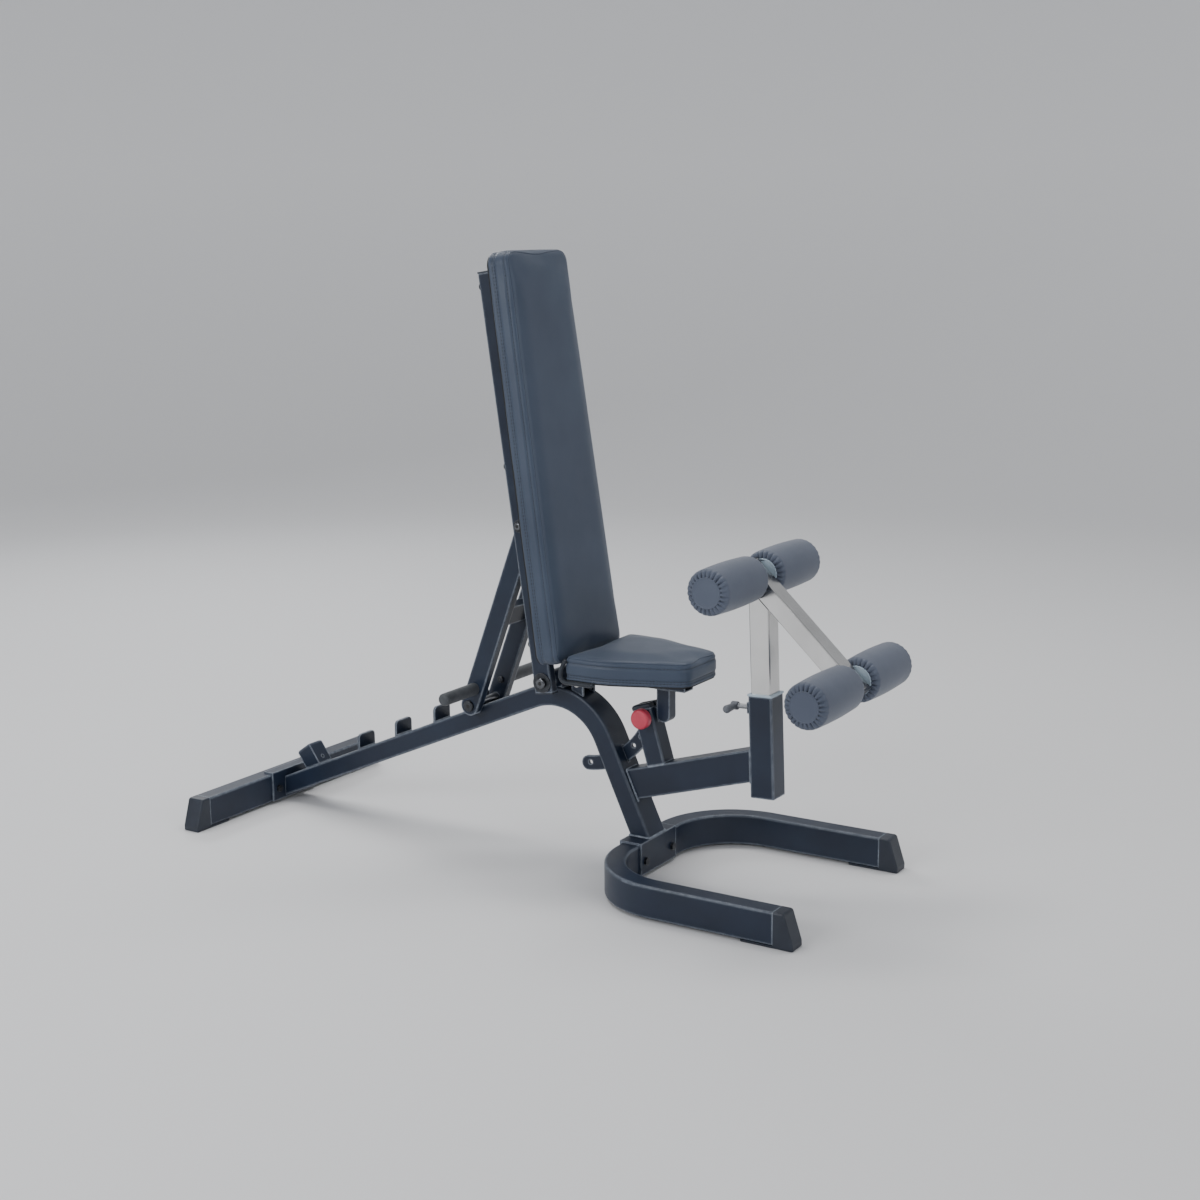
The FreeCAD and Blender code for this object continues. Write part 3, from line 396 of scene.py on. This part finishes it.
def cord_mesh(name, path, radius, closed=False, sides=8):
    """A round cord as a mesh; a closed one joins up at its start."""
    rows = tube_rows(path, radius, closed, sides)
    if closed:
        rows.append(rows[0])
    return grid_mesh(name, rows)


def joined(name, meshes):
    """One mesh from several."""
    work = bmesh.new()
    for mesh in meshes:
        work.from_mesh(mesh)
        bpy.data.meshes.remove(mesh)
    mesh = bpy.data.meshes.new(name)
    work.to_mesh(mesh)
    work.free()
    return mesh


def rounded_path(corners, radii):
    """Evenly spaced points on a closed outline with round corners, each with its outward normal."""
    raw = []
    arc_steps = 12
    count = len(corners)
    for i in range(count):
        here = Vector(corners[i])
        back = (Vector(corners[i - 1]) - here).normalized()
        ahead = (Vector(corners[(i + 1) % count]) - here).normalized()
        half = back.angle(ahead) / 2
        centre = here + (back + ahead).normalized() * radii[i] / math.sin(half)
        start = here + back * radii[i] / math.tan(half) - centre
        end = here + ahead * radii[i] / math.tan(half) - centre
        turn = start.angle(end)
        for k in range(arc_steps + 1):
            share = k / arc_steps
            spoke = start * math.sin((1 - share) * turn) + end * math.sin(share * turn)
            raw.append(centre + spoke / math.sin(turn))
    lengths = [(raw[(i + 1) % len(raw)] - raw[i]).length for i in range(len(raw))]
    total = sum(lengths)
    steps = round(total / OUTLINE_STEP)
    points = []
    i = 0
    walked = 0.0
    for k in range(steps):
        target = total * k / steps
        while walked + lengths[i] < target:
            walked += lengths[i]
            i += 1
        share = (target - walked) / lengths[i]
        points.append(raw[i].lerp(raw[(i + 1) % len(raw)], share))
    result = []
    for k, point in enumerate(points):
        along = points[(k + 1) % steps] - points[k - 1]
        result.append((point, Vector((along.y, -along.x)).normalized()))
    return result


# ---- cushions -----------------------------------------------------------------------------
def cushion_start(node, board, voxel, to_local, slim):
    """The soft solid and its board as one form in upright axes, slimmed and remeshed evenly."""
    work = bmesh.new()
    work.from_mesh(frame["nodes"][node].data)
    work.from_mesh(frame["nodes"][board].data)
    bmesh.ops.remove_doubles(work, verts=work.verts, dist=1e-5)
    bmesh.ops.transform(work, matrix=to_local, verts=work.verts)
    mesh = bpy.data.meshes.new(node + "_work")
    work.to_mesh(mesh)
    work.free()
    low = Vector(map(min, *[v.co for v in mesh.vertices]))
    high = Vector(map(max, *[v.co for v in mesh.vertices]))
    middle = (low + high) / 2
    half = (high - low) / 2
    for v in mesh.vertices:
        for axis in range(3):
            v.co[axis] = middle[axis] + (v.co[axis] - middle[axis]) * (1 - slim[axis] / half[axis])
    made = bpy.data.objects.new(node + "_work", mesh)
    bpy.context.scene.collection.objects.link(made)
    remesh = made.modifiers.new("even", "REMESH")
    remesh.mode = "VOXEL"
    remesh.voxel_size = voxel
    made.data = applied(made)
    made.modifiers.clear()
    return made


def applied(made):
    """The object's mesh with its modifiers applied."""
    graph = bpy.context.evaluated_depsgraph_get()
    return bpy.data.meshes.new_from_object(made.evaluated_get(graph))


def evened(moves, edges, passes):
    """Average each point's move with its neighbours' moves, a few times over."""
    share = numpy.ones(len(moves))
    numpy.add.at(share, edges.ravel(), 1.0)
    for _ in range(passes):
        total = moves.copy()
        numpy.add.at(total, edges[:, 0], moves[edges[:, 1]])
        numpy.add.at(total, edges[:, 1], moves[edges[:, 0]])
        moves = total / share[:, None]
    return moves


def coordinates(mesh):
    """The mesh's points as one array."""
    flat = numpy.empty(len(mesh.vertices) * 3)
    mesh.vertices.foreach_get("co", flat)
    return flat.reshape(-1, 3)


def inflate(made, held, cap, ease):
    """Swell the cushion as pressurised cloth, keeping the held points and capping the rest.

    ease is the share of the swell that each axis keeps, because sewn walls give less than faces.
    """
    rest = coordinates(made.data)
    pins = made.vertex_groups.new(name="held")
    for v in made.data.vertices:
        weight = held(v.co)
        if weight > 0:
            pins.add([v.index], weight, "REPLACE")
    cloth = made.modifiers.new("cloth", "CLOTH")
    cloth.settings.quality = 6
    cloth.settings.mass = 0.4
    cloth.settings.tension_stiffness = CLOTH_STIFFNESS
    cloth.settings.compression_stiffness = CLOTH_STIFFNESS
    cloth.settings.shear_stiffness = CLOTH_STIFFNESS * CLOTH_SHEAR_SHARE
    cloth.settings.bending_stiffness = CLOTH_BENDING
    cloth.settings.use_pressure = True
    cloth.settings.uniform_pressure_force = CLOTH_PRESSURE
    cloth.settings.vertex_group_mass = "held"
    cloth.settings.effector_weights.gravity = 0.0
    cloth.collision_settings.use_collision = False
    for step in range(1, CLOTH_STEPS + 1):
        bpy.context.scene.frame_set(step)
    swollen = applied(made)
    made.modifiers.clear()
    moves = coordinates(swollen) - rest
    far = numpy.linalg.norm(moves, axis=1)
    moves *= numpy.minimum(1.0, cap / numpy.maximum(far, 1e-9))[:, None]
    edges = numpy.empty(len(swollen.edges) * 2, dtype=int)
    swollen.edges.foreach_get("vertices", edges)
    moves = evened(moves, edges.reshape(-1, 2), EVENING_PASSES) * ease
    swollen.vertices.foreach_set("co", (rest + moves).ravel())
    made.data = swollen
    bpy.context.scene.frame_set(1)


def smoothed(made):
    """One subdivision, applied."""
    modifier = made.modifiers.new("smooth", "SUBSURF")
    modifier.levels = 1
    modifier.render_levels = 1
    made.data = applied(made)
    made.modifiers.clear()


def surface_of(made):
    """Ray-castable copy of the object's surface."""
    mesh = made.data
    return BVHTree.FromPolygons([v.co for v in mesh.vertices],
                                [tuple(p.vertices) for p in mesh.polygons])


def distance_to(path, index, point):
    """Distance from a point to a closed path near the given path point."""
    best = (point - path[index]).length
    for start, end in ((path[index - 1], path[index]), (path[index], path[(index + 1) % len(path)])):
        foot, share = intersect_point_line(point, start, end)
        if 0 <= share <= 1:
            best = min(best, (point - foot).length)
    return best


def groove(made, path):
    """Press a sewn line into the cushion along a closed path."""
    marks = KDTree(len(path))
    for i, point in enumerate(path):
        marks.insert(point, i)
    marks.balance()
    mesh = made.data
    mesh.update()
    normals = [v.normal.copy() for v in mesh.vertices]
    for v, normal in zip(mesh.vertices, normals):
        _, index, reach = marks.find(v.co)
        if reach < GROOVE_WIDTH * 4:
            share = math.exp(-(distance_to(path, index, v.co) / GROOVE_WIDTH) ** 2)
            v.co -= normal * GROOVE_DEPTH * share


def stitches(name, path, normals):
    """Row of short thread stitches lying on a path, their ends dipping into the cover."""
    meshes = []
    total = 0.0
    count = len(path)
    for i in range(count):
        point, following = path[i], path[(i + 1) % count]
        along = following - point
        if along.length < 1e-6:
            continue
        total += along.length
        if total < STITCH_LENGTH + STITCH_GAP:
            continue
        total = 0.0
        half = along.normalized() * STITCH_LENGTH / 2
        lift = normals[i] * STITCH_R * 0.35
        middle = point + lift
        thread = [middle - half - lift * 2, middle - half * 0.6, middle + half * 0.6,
                  middle + half - lift * 2]
        meshes.append(cord_mesh("stitch", thread, STITCH_R, sides=5))
    return joined(name, meshes)


def side_seam(surface, outline, lift, place):
    """Points on a cushion's side wall at one height; place maps an outline point to 3-D."""
    path = []
    outward = []
    for point, normal in outline:
        out = (place(point + normal) - place(point)).normalized()
        hit = surface.ray_cast(place(point) + out * WALL_PROBE, -out, WALL_PROBE * 2)
        if hit[0] is not None:
            path.append(hit[0] + out * lift)
            outward.append(out)
    return path, outward


def settled(path):
    """Even out a closed path."""
    for _ in range(3):
        path = [(path[i - 1] + path[i] * 2 + path[(i + 1) % len(path)]) / 4 for i in range(len(path))]
    return path


def sew(made, name, outline, rows, welt, place_at):
    """Press the rows into a cushion's side walls; return their threads and the welt as meshes."""
    for depth in rows:
        path, _ = side_seam(surface_of(made), outline, 0.0, place_at(depth))
        groove(made, settled(path))
    surface = surface_of(made)
    threads = []
    for depth in rows:
        path, outward = side_seam(surface, outline, 0.0, place_at(depth))
        threads.append(stitches(name + "_row", settled(path), outward))
    depth, radius = welt
    path, _ = side_seam(surface, outline, -radius * 0.25, place_at(depth))
    return threads, [cord_mesh(name + "_welt", settled(path), radius, closed=True)]


def back_cushion():
    """The long back pad: swollen front, boxed sides, sewn rows and a welt, over its board's edges."""
    made = cushion_start("back_pad", "back_board", 0.005, TO_BACK.inverted(),
                         Vector((0.0015, 0.0025, 0.0025)))

    def held(co):
        return 1.0 if co.x < BACK_REAR + BOARD_THICK + 0.001 else 0.0

    inflate(made, held, 0.009, (0.75, 0.5, 0.3))
    smoothed(made)
    corners = [(-BACK_WIDE, BACK_LOW), (BACK_WIDE, BACK_LOW), (BACK_NARROW, BACK_HIGH),
               (-BACK_NARROW, BACK_HIGH)]
    outline = rounded_path(corners, [0.028, 0.028, 0.032, 0.032])
    rows = [BACK_REAR + 0.014, BACK_REAR + 0.0195, BACK_FRONT - 0.017]

    def place_at(depth):
        return lambda point: Vector((depth, point.x, point.y))

    threads, welts = sew(made, "back", outline, rows, (BACK_FRONT - 0.0065, 0.0017), place_at)
    finish_cushion(made, "back_cushion", "back_pad", "backrest", TO_BACK, threads, welts)


def seat_cushion():
    """The tapered seat pad with its boxed sides, sewn rows and a welt round its top."""
    made = cushion_start("seat_pad", "seat_board", 0.0045, Matrix.Identity(4),
                         Vector((0.002, 0.0025, 0.0015)))

    def held(co):
        return 1.0 if co.z < SEAT_LOW + BOARD_THICK + 0.001 else 0.0

    inflate(made, held, 0.010, (0.6, 0.6, 1.0))
    smoothed(made)
    corners = [(SEAT_REAR, -SEAT_WIDE), (SEAT_SHOULDER, -SEAT_WIDE), (SEAT_FRONT, -SEAT_NOSE),
               (SEAT_FRONT, SEAT_NOSE), (SEAT_SHOULDER, SEAT_WIDE), (SEAT_REAR, SEAT_WIDE)]
    outline = rounded_path(corners, [0.014, 0.22, 0.038, 0.038, 0.22, 0.014])
    rows = [SEAT_LOW + 0.009, SEAT_LOW + 0.0145, SEAT_HIGH - 0.017]

    def place_at(height):
        return lambda point: Vector((point.x, point.y, height))

    threads, welts = sew(made, "seat", outline, rows, (SEAT_HIGH - 0.0065, 0.0016), place_at)
    finish_cushion(made, "seat_cushion", "seat_pad", "seat", Matrix.Identity(4), threads, welts)


def finish_cushion(made, name, node, body, to_world, threads, welts):
    mesh = made.data
    bpy.data.objects.remove(made)
    mesh.transform(to_world)
    pad = piece(name, mesh, body, "pad_vinyl")
    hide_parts(node)
    for kind, parts, material in (("stitching", threads, THREAD), ("welt", welts, None)):
        sewn = joined(name + "_" + kind, parts)
        sewn.transform(to_world)
        piece(name + "_" + kind, sewn, body, "pad_vinyl", material)


def seat_corner_piping():
    """Thick folded edge of the seat's cover, down each rear corner and forward under the side."""
    radius = 0.0052
    turn = 0.015
    across = SEAT_WIDE - 0.002
    rear = SEAT_REAR - 0.007
    low = SEAT_LOW - 0.004
    top = SEAT_HIGH - 0.013
    tuck = 0.014                         # how far the upper end curls in behind the seat
    run = 0.070
    steps = 8
    path = []
    for k in range(steps + 1):
        share = k / steps
        path.append((rear + tuck * (1 - share) ** 2, top + (low + turn - top) * share))
    for k in range(1, steps + 1):
        t = math.pi / 2 * k / steps
        path.append((rear + turn * (1 - math.cos(t)), low + turn * (1 - math.sin(t))))
    path += [(rear + turn + run * k / steps, low) for k in range(1, steps + 1)]
    path.append((path[-1][0] + 0.006, low + 0.005))
    loops = [cord_mesh("loop", [Vector((x, side * across, z)) for x, z in path], radius, sides=12)
             for side in (-1, 1)]
    piece("seat_corner_piping", joined("seat_corner_piping", loops), "seat", "pad_vinyl", PIPING)


# ---- rollers ------------------------------------------------------------------------------
def roller_profile():
    """Rows along the axle: (distance, radius, pleat strength, normal's share along and across)."""
    length = ROLLER_OUT - ROLLER_IN
    bulge = 0.0020                       # how much fatter the barrel is in its middle
    inset = 0.0020                       # how far the gathers stand back from the ends
    turn = ROLLER_R - bulge - ROLLER_DISC_R
    shoulder_steps, barrel_steps = 18, 24
    shoulder = []
    for k in range(shoulder_steps + 1):
        t = math.pi / 2 * (1 - k / shoulder_steps)
        x = inset + turn * 0.80 * (1 - math.sin(t))
        radius = ROLLER_DISC_R + turn * math.cos(t) ** 0.8
        shoulder.append((x, radius, math.sin(t) ** 1.5, -math.sin(t), math.cos(t)))
    first = shoulder[-1][0]
    straight = length - 2 * first
    barrel = []
    for k in range(1, barrel_steps):
        radius = ROLLER_R - bulge + bulge * math.sin(math.pi * k / barrel_steps)
        barrel.append((first + straight * k / barrel_steps, radius, 0.0, 0.0, 1.0))
    outer = [(length - x, r, s, -along, across) for x, r, s, along, across in reversed(shoulder)]
    return shoulder + barrel + outer


def roller(node, centre, side):
    """One roller: gathered cover and end discs with a corded rim, riding on its own body."""
    around = PLEATS * POINTS_PER_PLEAT
    phase = centre.x * 40 + side         # so that no two rollers are gathered alike
    valley, fold_height = 0.86, 0.0085
    rings = []
    for x, radius, strength, along, across in roller_profile():
        ring = []
        for k in range(around):
            t = 2 * math.pi * k / around
            sway = 0.10 * math.sin(t * 3 + phase)
            wave = abs(math.cos((t + sway / PLEATS) * PLEATS / 2)) ** 0.55
            fold = (wave - valley) * fold_height * strength * (0.80 + 0.20 * math.sin(t * 5 + phase))
            r = radius + fold * across
            y = ROLLER_IN + x + fold * along
            ring.append(Vector((centre.x + r * math.cos(t), side * y, centre.z + r * math.sin(t))))
        rings.append(ring)
    cover = piece(node + "_cover", grid_mesh("cover", rings), node, "roller_vinyl")
    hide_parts(node)
    for name, y, out, slot in (("outer_disc", ROLLER_OUT, 1, "roller_vinyl"),
                               ("inner_disc", ROLLER_IN, -1, "pale_plastic")):
        piece("%s_%s" % (node, name), end_disc(centre, side, y, out), node, slot)


def end_disc(centre, side, y, out):
    """Nearly flat disc with a corded rim, set into the gathered end of a roller."""
    rings = []
    sides = 72
    sink = 0.0008
    for share, rise in ((0.35, 0.0), (0.7, -0.0002), (0.9, -0.0006), (0.96, -0.0002), (1.0, 0.0006),
                        (1.04, -0.0004), (1.05, -0.0025)):
        ring = []
        for k in range(sides):
            t = 2 * math.pi * k / sides
            r = ROLLER_DISC_R * share
            ring.append(Vector((centre.x + r * math.cos(t), side * (y + out * (rise - sink)),
                                centre.z + r * math.sin(t))))
        rings.append(ring)
    return grid_mesh("disc", rings)


def rollers():
    """The four rollers on their axles."""
    for place in ("upper", "lower"):
        for hand, side in (("left", 1), ("right", -1)):
            node = "roller_%s_%s" % (place, hand)
            roller(node, joint_at(node + "_spin"), side)


# ---- welds, threads and small hardware ----------------------------------------------------
def bead(points, radius):
    """Weld bead: overlapping flattened drops along a broken line."""
    work = bmesh.new()
    spacing = radius * 0.8
    for start, end in zip(points, points[1:]):
        run = end - start
        count = max(2, round(run.length / spacing))
        along = run.normalized()
        turn = along.to_track_quat("X", "Z").to_matrix().to_4x4()
        for k in range(count):
            centre = start + run * (k + 0.5) / count
            size = radius * (1 + 0.12 * math.sin(k * 2.4))
            shape = Matrix.Translation(centre) @ turn @ Matrix.Diagonal((size * 0.75, size, size, 1))
            bmesh.ops.create_uvsphere(work, u_segments=10, v_segments=6, radius=1.0, matrix=shape)
    mesh = bpy.data.meshes.new("bead")
    work.to_mesh(mesh)
    work.free()
    return mesh


def rectangle(x, y, z):
    """Closed loop round four corners; z follows x linearly between its two values."""
    corners = [(x[0], y[0], z[0]), (x[1], y[0], z[1]), (x[1], y[1], z[1]), (x[0], y[1], z[0]),
               (x[0], y[0], z[0])]
    return [Vector(c) for c in corners]


def cross_bead(x, z, half, radius):
    """Weld bead straight across the bench."""
    return bead([Vector((x, -half, z)), Vector((x, half, z))], radius)


def catch_welds():
    """Beads behind and in front of each ladder catch's foot."""
    radius, inset = 0.0028, 0.002
    meshes = []
    for number in range(1, 5):
        low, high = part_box("ladder_catch_%d" % number)
        rail = low.z + (high.z - low.z) * 0.025
        for x, z in ((low.x, rail), (high.x, rail + 0.0022)):
            ends = [Vector((x, low.y + inset, z)), Vector((x, high.y - inset, z))]
            meshes.append(bead(ends, radius))
    return meshes


def saddle_weld():
    """Bead round the foot of the main tube."""
    saddle_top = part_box("front_saddle_bracket")[1].z
    foot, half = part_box("spine_tube")[1].xy
    return bead(rectangle((foot - 0.055, foot), (-half, half), (saddle_top, saddle_top)), 0.0036)


def beam_welds():
    """Beads at both ends of the front beam: on the receiver and on the main tube's leg."""
    rise, leg_lean = math.radians(16.3), math.radians(24.6)
    deep, rear_run = 0.075 / math.cos(rise), 0.0805
    receiver_bead, leg_bead = 0.0034, 0.0038
    beam_low, beam_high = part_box("front_beam")
    half = beam_high.y
    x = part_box("receiver_tube")[0].x + 0.0045
    z = beam_high.z - 0.0015
    rear_x = beam_low.x
    rear_z = z - (x - rear_x) * math.tan(rise)
    foot_x = rear_x + math.sin(leg_lean) * rear_run
    foot_z = rear_z - math.cos(leg_lean) * rear_run
    meshes = [bead([Vector((x, y, z)), Vector((x + 0.0025, y, z - deep))], receiver_bead)
              for y in (-half, half)]
    meshes.append(cross_bead(x, z, half, receiver_bead))
    meshes += [bead([Vector((rear_x, y, rear_z)), Vector((foot_x, y, foot_z))], leg_bead)
               for y in (-half, half)]
    meshes.append(cross_bead(rear_x, rear_z, half, leg_bead))
    return meshes


def frame_welds():
    """Beads where the frame's pieces meet, as one piece."""
    hinge_welds = [cross_bead(BACK_HINGE.x + side * 0.0155, BACK_HINGE.z - 0.0225, 0.034, 0.0032)
                   for side in (-1, 1)]
    meshes = catch_welds() + [saddle_weld()] + beam_welds() + hinge_welds
    piece("frame_welds", joined("frame_welds", meshes), "frame", "frame_paint")


def lock_thread():
    """Clamping screw, threaded over its whole length."""
    axis = Vector(JOINTS["lock_handle_turn"]["axis"])
    low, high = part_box("lock_screw")
    start = Vector((low.x, 0, (low.z + high.z) / 2 - axis.z / axis.x * (high.x - low.x) / 2))
    side = Vector((0, 1, 0))
    up = axis.cross(side)
    pitch, tall, radius = 0.00175, 0.0009, 0.006
    clearance = 0.0002
    length = (high.x - low.x) / axis.x - clearance
    rows = []
    steps, sides = 150, 28
    for i in range(steps + 1):
        x = length * i / steps
        ring = []
        for k in range(sides):
            t = 2 * math.pi * k / sides
            phase = (x / pitch + k / sides) % 1.0
            r = radius - tall * abs(2 * phase - 1)
            ring.append(start + axis * x + (side * math.cos(t) + up * math.sin(t)) * r)
        rows.append(ring)
    screw = piece("lock_screw_thread", grid_mesh("lock_screw_thread", rows), "lock_handle", "zinc")
    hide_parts("lock_screw")


def hex_socket_shades():
    """Near-black hexagon in the middle of each round bolt head: painted shade standing for its socket's recess."""
    heads = [("back_hinge_bolts", "backrest", BACK_HINGE, 0.0052),
             ("strut_pivot_bolts", "backrest", joint_at("strut_swing"), 0.0040)]
    rod_low, rod_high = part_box("catch_rod_bolts")
    heads.append(("catch_rod_bolts", "strut", (rod_low + rod_high) / 2, 0.0050))
    for node, body, centre, size in heads:
        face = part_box(node)[1].y
        meshes = []
        for side in (-1, 1):
            rings = []
            for depth, share in ((-0.0004, 1.0), (0.0002, 1.0), (0.00025, 0.8), (0.0001, 0.3)):
                rings.append([Vector((centre.x + size * share * math.cos(t), side * (face + depth),
                                      centre.z + size * share * math.sin(t)))
                              for t in (math.pi / 3 * k for k in range(6))])
            meshes.append(grid_mesh("socket", rings))
        # flat near-black hexagons: painted shade of each socket's recess
        piece(node + "_socket_shades", joined(node + "_socket_shades", meshes), body, "black_plastic", SOCKET_SHADE, False)


# ---- floor, light and camera --------------------------------------------------------------
def floor():
    """Plain pale floor that sweeps up into a pale wall all round."""
    flat, sweep, tall = 5.6, 4.0, 5.0
    sweep_steps, sides = 16, 96
    profile = [(0.01, 0.0), (3.0, 0.0), (flat, 0.0)]
    for k in range(1, sweep_steps + 1):
        t = math.pi / 2 * k / sweep_steps
        profile.append((flat + sweep * math.sin(t), sweep * (1 - math.cos(t))))
    profile.append((flat + sweep, tall))
    rings = [[Vector((r * math.cos(t), r * math.sin(t), z))
              for t in (2 * math.pi * k / sides for k in range(sides))] for r, z in profile]
    mesh = grid_mesh("floor", rings)
    work = bmesh.new()
    work.from_mesh(mesh)
    bmesh.ops.delete(work, geom=[f for f in work.faces if f.calc_center_median().z > tall - 0.01],
                     context="FACES_ONLY")
    work.to_mesh(mesh)
    work.free()
    made = bpy.data.objects.new("floor", mesh)
    bpy.context.scene.collection.objects.link(made)
    mesh.polygons.foreach_set("use_smooth", [True] * len(mesh.polygons))
    f = Finish("floor", (0.60, 0.60, 0.61), 0.75)
    rise = f.node("ShaderNodeSeparateXYZ")
    f.link(f.place, rise.inputs["Vector"])
    climb = f.node("ShaderNodeMapRange")
    climb.inputs["From Max"].default_value = sweep
    f.link(rise.outputs["Z"], climb.inputs["Value"])
    f.tint(climb.outputs["Result"], [(0.0, (0.70, 0.70, 0.71)), (0.5, (0.88, 0.88, 0.89))])
    f.gloss(f.noise(1.5, 5.0), 0.6, 0.85)
    mesh.materials.append(f.material)


def area_light(name, place, target, size, power, colour):
    """Soft rectangular light aimed at a point."""
    light = bpy.data.lights.new(name, "AREA")
    light.shape = "RECTANGLE"
    light.size, light.size_y = size
    light.energy = power
    light.color = colour
    made = bpy.data.objects.new(name, light)
    made.location = place
    made.rotation_euler = (Vector(target) - Vector(place)).to_track_quat("-Z", "Y").to_euler()
    bpy.context.scene.collection.objects.link(made)


def lights():
    """A pale surround and four softboxes: one overhead and three round the sides."""
    world = bpy.data.worlds.new("surround")
    world.use_nodes = True
    world.node_tree.nodes["Background"].inputs["Color"].default_value = (0.80, 0.82, 0.85, 1)
    world.node_tree.nodes["Background"].inputs["Strength"].default_value = 0.60
    bpy.context.scene.world = world
    area_light("overhead", (-0.6, 1.0, 5.4), (0, 0, 0.4), (6.0, 1.2), 180, (1.0, 0.99, 0.97))
    area_light("right_side", (-1.2, -5.0, 2.6), (0, 0, 0.5), (3.2, 1.4), 114, (0.97, 0.98, 1.0))
    area_light("foot_end", (4.8, -1.6, 2.2), (0.1, 0, 0.5), (1.6, 1.6), 38, (0.97, 0.98, 1.0))
    area_light("left_rear", (-4.2, 2.4, 3.2), (0, 0, 0.6), (2.4, 1.2), 70, (0.96, 0.98, 1.0))


def camera():
    """Camera standing to the right of the bench's foot end, looking slightly down."""
    yaw, pitch, roll = math.radians(32.09), math.radians(11.38), math.radians(-0.54)
    level_share = math.cos(pitch)
    ahead = Vector((-math.sin(yaw) * level_share, math.cos(yaw) * level_share, -math.sin(pitch)))
    level = Vector((math.cos(yaw), math.sin(yaw), 0))
    up = level.cross(ahead)
    right = level * math.cos(roll) + up * math.sin(roll)
    up = right.cross(ahead)
    data = bpy.data.cameras.new("camera")
    data.sensor_width = 36.0
    data.lens = 54.504
    data.clip_end = 200
    made = bpy.data.objects.new("camera", data)
    turn = Matrix((right, up, -ahead)).transposed().to_4x4()
    tube_foot = CAD_BOX[1].x - 0.573     # X that the camera's place is measured from
    place = Vector((tube_foot + 2.1225, -3.5962, 1.4996))
    made.matrix_world = Matrix.Translation(place) @ turn
    bpy.context.scene.collection.objects.link(made)
    bpy.context.scene.camera = made


finish_cad_nodes()
back_cushion()
seat_cushion()
seat_corner_piping()
rollers()
frame_welds()
lock_thread()
hex_socket_shades()
floor()
lights()
camera()
